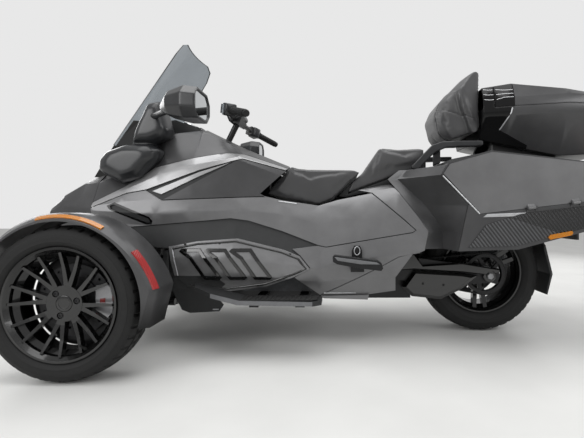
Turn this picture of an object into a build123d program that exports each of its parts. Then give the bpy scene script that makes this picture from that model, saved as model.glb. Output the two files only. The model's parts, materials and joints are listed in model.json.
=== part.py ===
from build123d import *
import os
from math import cos, hypot, radians, sin

# Touring motor trike with two steered front wheels and one driven rear wheel.
# +X points to the rear, +Y to the rider's right, +Z up; the origin lies on the floor under the middle.

# Stance
WHEELBASE = 1714.0
HALF_TRACK = 692.0
FRONT_OVERHANG = 400.0
REAR_OVERHANG = 719.0
LENGTH = FRONT_OVERHANG + WHEELBASE + REAR_OVERHANG
NOSE_X = -LENGTH / 2
FRONT_AXLE_X = NOSE_X + FRONT_OVERHANG
REAR_AXLE_X = FRONT_AXLE_X + WHEELBASE

# Wheels: 165/55R15 in front and 225/50R15 behind
FRONT_TYRE_RADIUS = 281.0
FRONT_TYRE_WIDTH = 165.0
FRONT_RIM_WIDTH = 127.0
REAR_TYRE_RADIUS = 303.0
REAR_TYRE_WIDTH = 225.0
REAR_RIM_WIDTH = 178.0
BEAD_RADIUS = 190.5
FLANGE_RADIUS = 205.0
FLANGE_THICKNESS = 9.0
RIM_WALL = 6.0
SPOKE_PAIRS = 8
SPOKE_SPREAD = 10.4
LUG_COUNT = 3
LUG_CIRCLE = 46.0
HUB_RADIUS = 65.0
AXLE_RADIUS = 22.0
BEARING_CLEARANCE = 0.05
DISC_RADIUS = 135.0
DISC_THICKNESS = 6.0
DISC_OFFSET = 23.0
DISC_HOLES = 18

# Clearances
SEAT_GAP = 0.3
SEAM = 0.8

# Steering
KINGPIN_INSET = 107.0
LOWER_JOINT_Z = 165.0
UPPER_JOINT_Z = 396.0
STEER_ARM = 110.0
BALL_PIN = 10.0
TIE_ROD_Z = 232.0
RAKE = 26.0
STEER_FOOT = (-720.0, 0.0, 800.0)
COLUMN_RADIUS = 16.0

# Bodywork
PANEL = 7.0
FENDER_INNER = 296.0
FENDER_WALL = 5.0
BAG_WALL = 7.0

KINGPIN_Y = HALF_TRACK - KINGPIN_INSET


def side_face(points, y=0.0):
    """Flat face at one y from (x, z) corners."""
    return make_face(Polyline(*[Vector(x, y, z) for x, z in points], close=True))


def slab(points, y0, y1):
    """Plate with a side outline of (x, z) corners between two y values."""
    return extrude(side_face(points, y0), amount=y1 - y0, dir=(0, 1, 0))


def front_prism(points, x0, x1):
    """Bar with a front outline of (y, z) corners between two x values."""
    face = make_face(Polyline(*[Vector(x0, y, z) for y, z in points], close=True))
    return extrude(face, amount=x1 - x0, dir=(1, 0, 0))


def plan_prism(points, z0, z1):
    """Block with a plan outline of (x, y) corners between two heights."""
    face = make_face(Polyline(*[Vector(x, y, z0) for x, y in points], close=True))
    return extrude(face, amount=z1 - z0, dir=(0, 0, 1))


def skin(sections):
    """Straight-ruled body through closed outlines of (x, y, z) corners, one list each."""
    faces = [make_face(Polyline(*[Vector(*p) for p in points], close=True)) for points in sections]
    return loft(faces, ruled=True)


def block(x0, x1, y0, y1, z0, z1):
    """Plain box between six planes."""
    return Pos((x0 + x1) / 2, (y0 + y1) / 2, (z0 + z1) / 2) * Box(x1 - x0, y1 - y0, z1 - z0)


def bar(start, end, radius, end_radius=None):
    """Round bar or cone between two points."""
    a, b = Vector(*start), Vector(*end)
    plane = Plane(origin=a, z_dir=b - a)
    length = (b - a).length
    if end_radius is None:
        return extrude(plane * Circle(radius), amount=length)
    top = Plane(origin=b, z_dir=b - a)
    return loft([plane * Circle(radius), top * Circle(end_radius)])


def ring(points, axis_x, y, axis_z):
    """Solid of revolution about a line along Y from (radius, offset along Y) corners."""
    face = make_face(Polyline(*[Vector(r, a, 0) for r, a in points], close=True))
    return Pos(axis_x, y, axis_z) * revolve(face, axis=Axis.Y)


def polar(radius, angle):
    """(x, z) at a radius and an angle from +X towards +Z."""
    return radius * cos(radians(angle)), radius * sin(radians(angle))


def mirrored(shape):
    return mirror(shape, about=Plane.XZ)


def fused(parts):
    total = parts[0]
    for part in parts[1:]:
        total = total + part
    return total


def both(shape):
    """A left-hand shape and its right-hand twin."""
    return [shape, mirrored(shape)]


def inset(points, distance):
    """Closed outline moved inwards by a distance, corner by corner."""
    area = sum(a[0] * b[1] - b[0] * a[1] for a, b in zip(points, points[1:] + points[:1]))
    sign = 1.0 if area > 0 else -1.0
    result = []
    count = len(points)
    for i in range(count):
        before, here, after = points[i - 1], points[i], points[(i + 1) % count]
        d1 = (here[0] - before[0], here[1] - before[1])
        d2 = (after[0] - here[0], after[1] - here[1])
        l1, l2 = hypot(*d1), hypot(*d2)
        n1 = (-d1[1] / l1 * sign, d1[0] / l1 * sign)
        n2 = (-d2[1] / l2 * sign, d2[0] / l2 * sign)
        bisector = (n1[0] + n2[0], n1[1] + n2[1])
        scale_up = distance * 2 / (bisector[0] ** 2 + bisector[1] ** 2)
        result.append((here[0] + bisector[0] * scale_up, here[1] + bisector[1] * scale_up))
    return result


# Wheels: each is drawn about its own centre with its outer face towards -Y
def tyre(radius, width, rim_width):
    seat = rim_width / 2
    shoulder_r = radius - 9.0
    tread = width * 0.40
    middle = (FLANGE_RADIUS + shoulder_r) / 2
    edges = [
        Line((BEAD_RADIUS, -seat), (BEAD_RADIUS, seat)),
        Line((BEAD_RADIUS, seat), (FLANGE_RADIUS + 1.5, seat)),
        ThreePointArc((FLANGE_RADIUS + 1.5, seat), (middle, width / 2), (shoulder_r, tread)),
        ThreePointArc((shoulder_r, tread), (radius, 0), (shoulder_r, -tread)),
        ThreePointArc((shoulder_r, -tread), (middle, -width / 2), (FLANGE_RADIUS + 1.5, -seat)),
        Line((FLANGE_RADIUS + 1.5, -seat), (BEAD_RADIUS, -seat)),
    ]
    return revolve(make_face(edges), axis=Axis.Y)


def barrel(rim_width):
    """Rolled rim with its two flanges, bead seats and drop centre."""
    seat = rim_width / 2 + 0.2
    drop = BEAD_RADIUS - 16.0
    half = [
        (FLANGE_RADIUS, seat),
        (FLANGE_RADIUS, seat + FLANGE_THICKNESS),
        (FLANGE_RADIUS - 8.0, seat + FLANGE_THICKNESS),
        (BEAD_RADIUS - RIM_WALL, seat - 6.0),
        (BEAD_RADIUS - RIM_WALL, seat - 22.0),
        (drop - RIM_WALL, seat - 36.0),
    ]
    outer = [(drop, seat - 34.0), (BEAD_RADIUS - 0.2, seat - 20.0), (BEAD_RADIUS - 0.2, seat)]
    points = outer + half
    points += [(r, -a) for r, a in reversed(half)] + [(r, -a) for r, a in reversed(outer)]
    return ring(points, 0, 0, 0)


def spoke(root_angle, root_radius, root_width, tip_angle, tip_radius, tip_width, depth):
    """Tapered flat bar from the hub to the rim, as deep as the wheel."""
    rx, rz = polar(root_radius, root_angle)
    tx, tz = polar(tip_radius, tip_angle)
    length = hypot(tx - rx, tz - rz)
    nx, nz = -(tz - rz) / length, (tx - rx) / length
    points = [
        (rx + nx * root_width / 2, rz + nz * root_width / 2),
        (tx + nx * tip_width / 2, tz + nz * tip_width / 2),
        (tx - nx * tip_width / 2, tz - nz * tip_width / 2),
        (rx - nx * root_width / 2, rz - nz * root_width / 2),
    ]
    return slab(points, -depth, depth)


def lug_holes(inner_y, outer_y):
    """Counterbored lug seats round the hub."""
    cuts = []
    for i in range(LUG_COUNT):
        x, z = polar(LUG_CIRCLE, 12.0 + 360.0 * i / LUG_COUNT)
        cuts.append(bar((x, outer_y, z), (x, inner_y, z), 12.0))
    return cuts


def front_rim():
    """Sixteen thin spokes in eight V pairs on a dished hub."""
    seat = FRONT_RIM_WIDTH / 2
    tip = BEAD_RADIUS - RIM_WALL + 1.0
    dish = ring([(40, -38), (78, -40), (130, -48), (tip, -seat - 1), (tip, -seat + 22),
                 (130, -25), (78, -14), (40, -10)], 0, 0, 0)
    fan = []
    for i in range(SPOKE_PAIRS):
        middle = 12.0 + 22.5 + 360.0 * i / SPOKE_PAIRS
        for side in (-1, 1):
            fan.append(spoke(middle + side * 3.6, 56.0, 17.0, middle + side * SPOKE_SPREAD, tip, 9.5, 80.0))
    fan = fused(fan) & dish
    hub_outer = -40.0
    hub_inner = DISC_OFFSET - DISC_THICKNESS / 2 - 8.0
    hub = ring([(0, hub_outer + 4), (30, hub_outer + 4), (30, hub_outer), (HUB_RADIUS, hub_outer),
                (HUB_RADIUS, -16), (58, hub_inner), (0, hub_inner)], 0, 0, 0)
    wheel = fused([barrel(FRONT_RIM_WIDTH), fan, hub])
    wheel -= bar((0, -30, 0), (0, 60, 0), AXLE_RADIUS + BEARING_CLEARANCE)
    for cut in lug_holes(-28.0, -60.0):
        wheel -= cut
    return wheel


def rear_rim():
    """Three broad twin spokes, the lowest pair straight down."""
    tip = BEAD_RADIUS - RIM_WALL + 1.0
    dish = ring([(40, -52), (90, -52), (tip, -74), (tip, -40), (90, -18), (40, -18)], 0, 0, 0)
    fan = []
    for i in range(3):
        middle = -90.0 + 120.0 * i
        for side in (-1, 1):
            fan.append(spoke(middle + side * 14.0, 60.0, 24.0, middle + side * 8.6, tip, 20.0, 100.0))
    fan = fused(fan) & dish
    hub = ring([(0, -REAR_HUB_FACE), (64, -REAR_HUB_FACE), (70, REAR_HUB_FACE), (0, REAR_HUB_FACE)], 0, 0,
               0)
    wheel = fused([barrel(REAR_RIM_WIDTH), fan, hub])
    return wheel - bar((0, -80, 0), (0, 80, 0), AXLE_RADIUS + BEARING_CLEARANCE)


def brake_disc(offset, hat_inner):
    """Drilled disc on its hat; offset is the disc's middle and hat_inner the hub's face."""
    near = offset - DISC_THICKNESS / 2
    far = offset + DISC_THICKNESS / 2
    disc = ring([(40, hat_inner), (92, hat_inner), (92, near), (DISC_RADIUS, near),
                 (DISC_RADIUS, far), (84, far), (84, near), (40, near)], 0, 0, 0)
    for i in range(DISC_HOLES):
        row = 104.0 if i % 2 else 120.0
        x, z = polar(row, 360.0 * i / DISC_HOLES)
        disc -= bar((x, near - 5, z), (x, far + 5, z), 5.0)
    return disc


REAR_DISC_Y = 75.0
REAR_HUB_FACE = 56.0
PULLEY_RADIUS = 100.0
PULLEY_IN, PULLEY_OUT = 122.0, 150.0
PULLEY_ARMS = 5


def rear_pulley():
    """Belt pulley on the left of the rear hub: a rim on curved arms round a drum."""
    rim = ring([(84, -PULLEY_OUT), (PULLEY_RADIUS, -PULLEY_OUT), (PULLEY_RADIUS, -PULLEY_IN),
                (84, -PULLEY_IN)], 0, 0, 0)
    drum = ring([(0, -PULLEY_OUT), (44, -PULLEY_OUT), (44, -REAR_HUB_FACE), (0, -REAR_HUB_FACE)], 0, 0, 0)
    arms = []
    for i in range(PULLEY_ARMS):
        angle = 20.0 + 360.0 * i / PULLEY_ARMS
        arms.append(spoke(angle, 40.0, 20.0, angle + 18.0, 88.0, 14.0, 9.0).moved(
            Pos(0, -(PULLEY_IN + PULLEY_OUT) / 2, 0)))
    body = fused([rim, drum] + arms)
    return body - bar((0, -160, 0), (0, 0, 0), AXLE_RADIUS + BEARING_CLEARANCE)


def drive_belt():
    """Toothed belt from the engine's output to the rear pulley, drawn up to the pivot plate."""
    side = Plane(origin=(0, -PULLEY_OUT + 1, 0), x_dir=(1, 0, 0), z_dir=(0, -1, 0))

    def loop(grow):
        big = Pos(REAR_AXLE_X, REAR_TYRE_RADIUS) * Circle(PULLEY_RADIUS + grow)
        small = Pos(PIVOT_X, PIVOT_Z) * Circle(PULLEY_RADIUS * 0.4 + grow)
        face = side * make_hull(big.edges() + small.edges())
        return extrude(face, amount=PULLEY_OUT - PULLEY_IN - 2, dir=(0, 1, 0))
    belt = loop(SEAT_GAP + BELT_THICKNESS) - loop(SEAT_GAP)
    return belt & block(PIVOT_X + 64, REAR_AXLE_X + 200, -200, 0, 0, 600)


BELT_THICKNESS = 6.0


def put_wheel(shape, x, y, z):
    return Pos(x, y, z) * shape


# Front suspension and steering, drawn for the left side
def knuckle():
    """Upright with its stub axle, ball-joint eyes, steering arm, caliper and fender stays."""
    x, y, z = FRONT_AXLE_X, -HALF_TRACK, FRONT_TYRE_RADIUS
    kingpin = -KINGPIN_Y
    upright = slab([(x - 26, LOWER_JOINT_Z + 22), (x + 26, LOWER_JOINT_Z + 22), (x + 34, z),
                    (x + 22, UPPER_JOINT_Z - 22), (x - 22, UPPER_JOINT_Z - 22), (x - 34, z)],
                   kingpin - 24, kingpin + 18)
    hub = bar((x, kingpin + 10, z), (x, y + 62, z), 52.0)
    stub = bar((x, y + 64, z), (x, y - 28, z), AXLE_RADIUS)
    flange = bar((x, y + 70, z), (x, y + DISC_OFFSET + 14, z), 40.0)
    arm = slab([(x, TIE_ROD_Z + 12), (x, TIE_ROD_Z + 26), (x + STEER_ARM + 14, TIE_ROD_Z + 26),
                (x + STEER_ARM + 14, TIE_ROD_Z + 12)], kingpin - 14, kingpin + 14)
    bracket = slab([(x, z - 30), (x + 150, z - 42), (x + 150, z + 42), (x, z + 30)],
                   y + DISC_OFFSET + 14, y + 62)
    inner, outer = y + DISC_OFFSET + 20, y - 4
    caliper = slab([(x + 92, z - 58), (x + 132, z - 66), (x + 160, z - 30), (x + 163, z + 30),
                    (x + 132, z + 66), (x + 92, z + 58)], outer, inner)
    slot = bar((x, y + DISC_OFFSET - 6, z), (x, y + DISC_OFFSET + 6, z), DISC_RADIUS + 4)
    stays = []
    for angle, reach in ((28.0, 306.3), (72.0, 297.4), (112.0, 296.8)):
        stays.append(spoke(angle, 40.0, 26.0, angle, reach, 18.0, 1.0).moved(Pos(x, 0, z)))
    stay = fused(stays)
    stay = extrude_between(stay, kingpin + 8 - 24, kingpin - 24 + 16)
    pins = [bar((x, kingpin, LOWER_JOINT_Z - 14), (x, kingpin, LOWER_JOINT_Z + 26), BALL_PIN),
            bar((x, kingpin, UPPER_JOINT_Z - 26), (x, kingpin, UPPER_JOINT_Z + 14), BALL_PIN)]
    return fused([upright, hub, flange, stub, arm, bracket, caliper - slot, stay] + pins)


def extrude_between(thin, y0, y1):
    """Thicken a thin fan of bars to lie between two y values."""
    box = thin.bounding_box()
    middle = (box.min.Y + box.max.Y) / 2
    scale_y = (y1 - y0) / (box.max.Y - box.min.Y)
    return Pos(0, (y0 + y1) / 2 - middle * scale_y, 0) * scale(thin, by=(1, scale_y, 1))


def fender_outline(y, shrink, inner):
    """Side outline of the front fender at one y: a crown arc, a flared tail and the inner arc."""
    crown, tail = 326.0 - shrink, 352.0 - shrink

    def at(radius, angle):
        px, pz = polar(radius, angle)
        return Vector(FRONT_AXLE_X + px, y, FRONT_TYRE_RADIUS + pz)

    front, tip = 150.0, -15.0
    edges = [
        ThreePointArc(at(crown - 3, front), at(crown, 100), at(crown, 58)),
        ThreePointArc(at(crown, 58), at((crown + tail) / 2 - 4, 30), at(tail, 9)),
        Line(at(tail, 9), at(tail - 28, tip)),
        Line(at(tail - 28, tip), at(inner, tip)),
        ThreePointArc(at(inner, tip), at(inner, 70), at(inner, front)),
        Line(at(inner, front), at(crown - 3, front)),
    ]
    return make_face(edges)


def fender_solid(grow):
    """Outer form of the front fender, grown by a gap where a lens lies on it."""
    y, inner = -HALF_TRACK, FENDER_INNER
    return loft([fender_outline(y + 96, 24 - grow, inner), fender_outline(y + 72, -grow, inner),
                 fender_outline(y - 52, -grow, inner), fender_outline(y - 85 - grow, 22 - grow, inner)],
                ruled=True)


def fender():
    """Thin cover that turns with the wheel, open below and on its inner side."""
    y = -HALF_TRACK
    wall = FENDER_WALL
    low = FENDER_INNER - 12
    inner = loft([fender_outline(y + 97, 24 + wall, low), fender_outline(y + 72, wall, low),
                  fender_outline(y - 50, wall, low), fender_outline(y - 80, 22 + wall, low)],
                 ruled=True)
    return fender_solid(0) - inner


def fender_lamp():
    """Amber lens along the fender's upper outer edge."""
    face = make_face(Polyline((306.0, -79.5, 0), (315.5, -66.0, 0), (321.0, -68.0, 0), (312.0, -82.0, 0),
                              close=True))
    lens = Rot(0, -104.0, 0) * revolve(face, axis=Axis.Y, revolution_arc=44.0)
    return Pos(FRONT_AXLE_X, -HALF_TRACK, FRONT_TYRE_RADIUS) * lens - fender_solid(SEAT_GAP)


DAMPER_FOOT = (FRONT_AXLE_X, -420.0, 205.0)
DAMPER_HEAD = (FRONT_AXLE_X, -235.0, 620.0)


def wishbone(joint_z, pivot_z, pivot_y, spread, radius, seat_y=None):
    """Two tubes from the frame's bushes to one ball-joint eye."""
    x = FRONT_AXLE_X
    eye = (x, -KINGPIN_Y, joint_z)
    parts = [bar((x, -KINGPIN_Y, joint_z - 14), (x, -KINGPIN_Y, joint_z + 14), 20.0)]
    for side in (-1, 1):
        foot = (x + side * spread, -pivot_y, pivot_z)
        parts.append(bar(foot, eye, radius))
        parts.append(bar((foot[0] - 22, -pivot_y, pivot_z), (foot[0] + 22, -pivot_y, pivot_z), 17.0))
    if seat_y:
        parts.append(block(x - 78, x + 78, -seat_y - 16, -seat_y + 16, joint_z - 6,
                           DAMPER_FOOT[2] - 17 - SEAT_GAP))
    eye_bore = bar((x, -KINGPIN_Y, joint_z - 16), (x, -KINGPIN_Y, joint_z + 16),
                   BALL_PIN + BEARING_CLEARANCE)
    return fused(parts) - eye_bore


def coil_profile(length, coils, core, wire):
    """Half outline of a spring on its damper, as (radius, height) corners with arc bulges."""
    pitch = length / coils
    edges = [Line((0, 0), (core + wire, 0))]
    for i in range(coils):
        low, high = i * pitch, (i + 1) * pitch
        edges.append(ThreePointArc((core + wire, low), (core + 2 * wire, low + pitch * 0.35),
                                   (core + wire, low + pitch * 0.7)))
        if i < coils - 1:
            edges.append(Line((core + wire, low + pitch * 0.7), (core + wire, high)))
    top = (coils - 1) * pitch + pitch * 0.7
    edges.append(Line((core + wire, top), (0, top)))
    edges.append(Line((0, top), (0, 0)))
    return make_face(edges)


def damper(foot, head, coils=7, core=16.0, wire=8.0):
    """Coil-over unit between two eyes."""
    a, b = Vector(*foot), Vector(*head)
    length = (b - a).length
    inset = 46.0
    spring = revolve(coil_profile(length - 2 * inset, coils, core, wire), axis=Axis.Y)
    spring = Rot(90, 0, 0) * spring
    plane = Plane(origin=a + (b - a) * (inset / length), z_dir=b - a)
    parts = [plane * spring]
    parts.append(bar(foot, head, 11.0))
    for eye in (foot, head):
        parts.append(bar((eye[0] - 16, eye[1], eye[2]), (eye[0] + 16, eye[1], eye[2]), 17.0))
    return fused(parts)


RACK_HALF = 230.0
RACK_RADIUS = 14.0


def tie_rods():
    """Rack bar with both track rods as one sliding piece over the steering arms."""
    x = FRONT_AXLE_X + STEER_ARM
    z = TIE_ROD_Z
    rod = bar((x, -KINGPIN_Y, z), (x, KINGPIN_Y, z), 9.0)
    rack = bar((x, -RACK_HALF, z), (x, RACK_HALF, z), RACK_RADIUS)
    parts = [rod, rack]
    for y in (-KINGPIN_Y, KINGPIN_Y):
        parts.append(bar((x, y, z - 11), (x, y, z + 11), 15.0))
    return fused(parts)


# Frame and running gear
FRAME_IN, FRAME_OUT = 120.0, 165.0
RAIL_LOW, RAIL_HIGH = 187.0, 227.0
TOWER_LOW = 155.0
SPINE_LOW = REAR_TYRE_RADIUS + 352.0
SPINE_HIGH = SPINE_LOW + 50.0
PIVOT_X, PIVOT_Z = 262.0, 322.0
ARM_PIVOT_Y = 192.0
TOWER_SPREAD = 160.0
TOWER_FRONT_X = FRONT_AXLE_X - TOWER_SPREAD - 22.0


# Legs and rail that carry the top case, as (x, z) corners
CASE_POST = [(742, 690), (786, 690), (800, 912), (992, 872), (985, 690), (1027, 690), (1046, 887.8),
             (1038, 887.7),
             (780, 939.7), (735, 948.8)]
POST_IN, POST_OUT = 128.0, 156.0
CASE_BRACKETS = (600.0, 900.0)
CASE_FRONT_X = 652.0
CASE_IN = 240.0


def board_brackets():
    """Outriggers from the lower rails to the footboards."""
    shapes = []
    for side in (-1, 1):
        for x in (-400, -200):
            y0, y1 = sorted((side * FRAME_OUT, side * 430))
            shapes.append(block(x - 20, x + 20, y0, y1, RAIL_LOW + 12, RAIL_LOW + 32))
            y0, y1 = sorted((side * 430, side * 416))
            top = [228 - 6 * (edge + 450) / 346 - SEAT_GAP for edge in (x - 20, x + 20)]
            shapes.append(slab([(x - 20, RAIL_LOW + 12), (x + 20, RAIL_LOW + 12), (x + 20, top[1]),
                                (x - 20, top[0])],
                               y0, y1))
    return shapes


def nose_inner_x(z):
    """x of the nose's inner face at a height between its two middle levels, near the centre line."""
    (z0, x0), (z1, x1) = NOSE_LEVELS[1][:2], NOSE_LEVELS[2][:2]
    return x0 + (x1 - x0) * (z - z0) / (z1 - z0) + PANEL


def frame():
    """Welded box-section spine and rails with the arm towers, head tube and seat rails."""
    x = FRONT_AXLE_X
    parts = []
    for side in (-1, 1):
        y0, y1 = sorted((side * FRAME_IN, side * FRAME_OUT))
        parts.append(block(x - 185, PIVOT_X + 60, y0, y1, RAIL_LOW, RAIL_HIGH))
        for tower in (x - TOWER_SPREAD, x + TOWER_SPREAD):
            parts.append(block(tower - 22, tower + 22, y0, y1, TOWER_LOW, SPINE_HIGH))
        parts.append(slab([(PIVOT_X - 62, RAIL_LOW), (PIVOT_X + 60, RAIL_LOW), (PIVOT_X + 60, SPINE_HIGH),
                           (PIVOT_X - 10, SPINE_HIGH)], y0, y1))
        parts.append(block(PIVOT_X, REAR_AXLE_X + 330, y0, y1, SPINE_HIGH - 50, SPINE_HIGH))
        for tower in (x - TOWER_SPREAD, x + TOWER_SPREAD):
            for z in (LOWER_JOINT_Z + 8, UPPER_JOINT_Z + 4):
                end = side * (ARM_PIVOT_Y - 17 - SEAT_GAP)
                parts.append(bar((tower, side * FRAME_IN, z), (tower, end, z), 12.0))
    for cross in (x - 185, x + 140, -60.0, PIVOT_X + 20):
        parts.append(block(cross, cross + 40, -FRAME_OUT, FRAME_OUT, RAIL_LOW, RAIL_HIGH))
    parts.append(block(x - 180, x + 180, -FRAME_OUT, FRAME_OUT, SPINE_LOW, SPINE_HIGH))
    parts.append(block(x + 100, PIVOT_X + 60, -38, 38, SPINE_LOW, SPINE_HIGH))
    parts.append(block(PIVOT_X + 10, PIVOT_X + 60, -FRAME_OUT, FRAME_OUT, SPINE_LOW, SPINE_HIGH))
    parts.append(block(REAR_AXLE_X + 290, REAR_AXLE_X + 330, -FRAME_OUT, FRAME_OUT,
                       SPINE_HIGH - 50, SPINE_HIGH))
    rack_x = x + STEER_ARM
    for side in (-1, 1):
        y0, y1 = sorted((side * FRAME_IN, side * FRAME_OUT))
        parts.append(block(rack_x - 20, rack_x + 20, y0, y1, RAIL_LOW, TIE_ROD_Z + 22))
        y0, y1 = sorted((side * (FRAME_OUT - 5), side * (-DAMPER_HEAD[1] + 17)))
        parts.append(block(x - 16, x + 16, y0, y1, DAMPER_HEAD[2] + 17 + SEAT_GAP, SPINE_HIGH - 15))
        y0, y1 = sorted((side * POST_IN, side * POST_OUT))
        parts.append(slab(CASE_POST, y0, y1))
    parts += board_brackets()
    parts.append(slab([(-440, SPINE_LOW + 20), (-400, SPINE_LOW + 20), (-400, 884.6), (-420, 892.5),
                       (-440, 900.4)],
                      -20, 20))
    horn_low, horn_high = nose_inner_x(404) + SEAT_GAP, nose_inner_x(436) + SEAT_GAP
    for side in (-1, 1):
        y0, y1 = sorted((side * FRAME_IN, side * (FRAME_IN + 12)))
        parts.append(slab([(TOWER_FRONT_X + 8, 404), (horn_low, 404), (horn_high, 436),
                           (TOWER_FRONT_X + 8, 436)],
                          y0, y1))
        y0, y1 = sorted((side * FRAME_OUT, side * (CASE_IN - SEAT_GAP)))
        for bracket_x in CASE_BRACKETS:
            parts.append(block(bracket_x, bracket_x + 40, y0, y1, SPINE_HIGH - 42, SPINE_HIGH - 14))
    foot, top = steer_point(12), steer_point(120)
    parts.append(bar(foot, top, COLUMN_RADIUS + 14))
    parts.append(slab([(-790, SPINE_LOW + 10), (-690, SPINE_LOW + 10), (-672, 880), (-700, 892)], -14, 14))
    body = fused(parts)
    body -= bar(steer_point(-10), steer_point(140), COLUMN_RADIUS + BEARING_CLEARANCE)
    body -= bar((PIVOT_X, -200, PIVOT_Z), (PIVOT_X, 200, PIVOT_Z), 15.0)
    body -= bar((rack_x, -200, TIE_ROD_Z), (rack_x, 200, TIE_ROD_Z), RACK_RADIUS + BEARING_CLEARANCE)
    return body


def steer_point(travel):
    """Point on the raked steering axis."""
    return (STEER_FOOT[0] + travel * sin(radians(RAKE)), 0.0, STEER_FOOT[2] + travel * cos(radians(RAKE)))


ENGINE_BACK = 150.0


def engine():
    return block(-500, ENGINE_BACK, -205, 205, RAIL_HIGH + SEAT_GAP, SPINE_LOW - 12)


def swingarm():
    """Two box arms from the pivot to the rear axle, with the axle and its nuts."""
    rx, rz = REAR_AXLE_X, REAR_TYRE_RADIUS
    parts = []
    for side in (-1, 1):
        near, far = side * (FRAME_OUT + 3), side * (FRAME_OUT + 33)
        y0, y1 = sorted((near, far))
        arm = slab([(PIVOT_X - 34, PIVOT_Z - 36), (PIVOT_X + 90, PIVOT_Z - 52), (rx - 60, rz - 40),
                    (rx + 44, rz - 34), (rx + 58, rz), (rx + 44, rz + 34), (rx - 60, rz + 44),
                    (PIVOT_X + 120, PIVOT_Z + 62), (PIVOT_X - 20, PIVOT_Z + 40)], y0, y1)
        parts.append(arm)
        parts.append(bar((rx, side * 40, rz), (rx, far, rz), AXLE_RADIUS))
        parts.append(bar((rx, far, rz), (rx, far + side * 14, rz), 24.0))
    parts.append(block(PIVOT_X + 66, PIVOT_X + 108, -(FRAME_OUT + 4), FRAME_OUT + 4, PIVOT_Z - 34,
                       PIVOT_Z + 34))
    parts.append(bar((rx, -60, rz), (rx, 60, rz), AXLE_RADIUS))
    corners = [polar(101, 130), polar(150, 130), polar(150, 165), polar(101, 165)]
    caliper = slab([(rx + px, rz + pz) for px, pz in corners], REAR_DISC_Y - 17, REAR_DISC_Y + 19)
    slot = bar((rx, REAR_DISC_Y - 6, rz), (rx, REAR_DISC_Y + 6, rz), DISC_RADIUS + 4)
    bracket = slab([(rx - 150, rz + 10), (rx - 118, rz + 10), (rx - 118, rz + 45), (rx - 150, rz + 45)],
                   REAR_DISC_Y + 11, FRAME_OUT + 4)
    parts += [caliper - slot, bracket]
    parts.append(bar((PIVOT_X, -FRAME_OUT - 20, PIVOT_Z), (PIVOT_X, FRAME_OUT + 20, PIVOT_Z), 14.9))
    return fused(parts)


# Side bodywork: one skin per side, drawn as stations along X, then cut into panels
# Columns: x, then (half-width, height) of keel, toe, flank, rib, sill, belly, seam, slot, crest and brow
SIDE_STATIONS = [
    (-1135, (334, 296), (340, 330), (366, 400), (372, 500), (374, 600), (379, 618), (376, 636), (370, 646),
     (362, 655), (316, 745)),
    (-1000, (338, 262), (345, 300), (372, 380), (378, 470), (376, 562), (384, 610), (378, 655), (366, 684),
     (352, 712), (262, 820)),
    (-850, (340, 170), (350, 272), (376, 330), (384, 400), (372, 552), (382, 605), (370, 668), (350, 735),
     (338, 783), (232, 985)),
    (-700, (338, 152), (350, 262), (392, 330), (402, 410), (366, 567), (372, 615), (354, 674), (336, 786),
     (324, 829), (188, 1013)),
    (-500, (336, 158), (346, 250), (398, 330), (406, 410), (350, 578), (346, 622), (322, 680), (304, 852),
     (294, 870), (168, 916)),
    (-280, (334, 196), (342, 240), (390, 320), (392, 380), (345, 521), (324, 600), (292, 676), (268, 775),
     (256, 812), (150, 828)),
    (-120, (334, 206), (338, 230), (374, 300), (378, 360), (348, 462), (322, 560), (284, 640), (262, 672),
     (244, 705), (150, 740)),
    (60, (332, 212), (335, 226), (366, 320), (368, 400), (350, 484), (326, 580), (290, 670), (266, 700),
     (246, 720), (150, 740)),
    (230, (330, 216), (332, 230), (364, 330), (366, 430), (353, 517), (334, 600), (298, 695), (274, 725),
     (248, 740), (150, 755)),
    (375, (328, 236), (330, 250), (366, 350), (372, 440), (356, 545), (340, 610), (304, 705), (280, 735),
     (250, 750), (150, 765)),
]
LINER_GAP = 0.3
LINER_WALL = 4.0


def side_skin(inset, wall):
    """Left skin between two insets from the outer surface, open at both ends."""
    sections = []
    for x, *rows in SIDE_STATIONS:
        outer = [(x, -(half - inset), z) for half, z in rows]
        inner = [(x, -(half - inset - wall), z) for half, z in reversed(rows)]
        sections.append(outer + inner)
    return skin(sections)


# Panel outlines in side view, as (x, z) corners
SHOULDER_LINE = [(-1135, 655), (-1001, 728), (-876, 815), (-723, 858), (-565, 893), (-486, 890),
                 (-284, 826)]
SLOT_TOP = [(-1135, 634), (-986, 698), (-899, 714), (-666, 806), (-508, 854), (-479, 861), (-284, 810)]
SEAT_EDGE = [(-285, 806), (-397, 697)]
MID_TOP = [(-1135, 630), (-986, 694), (-901, 709), (-824, 663), (-479, 678), (-374, 681), (-398, 691),
           (-300, 667), (-127, 642), (-40, 668)]
MID_REAR = [(120, 700), (268, 571), (314, 529), (301, 521)]
MID_SILL = [(-90, 455), (-127, 463), (-287, 525), (-440, 573), (-521, 584), (-627, 574), (-959, 546),
            (-1135, 602)]
VENT_OUTLINE = [(-787, 458), (-660, 482), (-484, 494), (-282, 444), (-207, 414), (-160, 358), (-231, 323),
                (-357, 278), (-534, 252), (-711, 272), (-761, 333)]
LOWER_OUTLINE = [(-158, 362), (-205, 418), (-240, 446), (-127, 459), (-90, 451), (301, 517), (319, 529),
                 (270, 575), (124, 703), (60, 716), (210, 752), (256, 690), (338, 576), (371, 522),
                 (352, 440),
                 (326, 428), (235, 411), (158, 369), (54, 318), (-117, 236), (-228, 321)]
SHIELD_OUTLINE = [(-764, 326), (-790, 270), (-745, 168), (-708, 153), (-576, 160), (-556, 190), (-600, 243),
                  (-700, 280), (-740, 320)]
LOUVRE_OUTLINE = [(-1050, 640), (-1034, 645), (-880, 583), (-872, 567), (-886, 564), (-1046, 626)]
SKIRT_OUTLINE = [(-113, 234), (54, 315), (158, 366), (235, 408), (300, 424), (222, 318), (225, 256),
                 (104, 238)]
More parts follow.
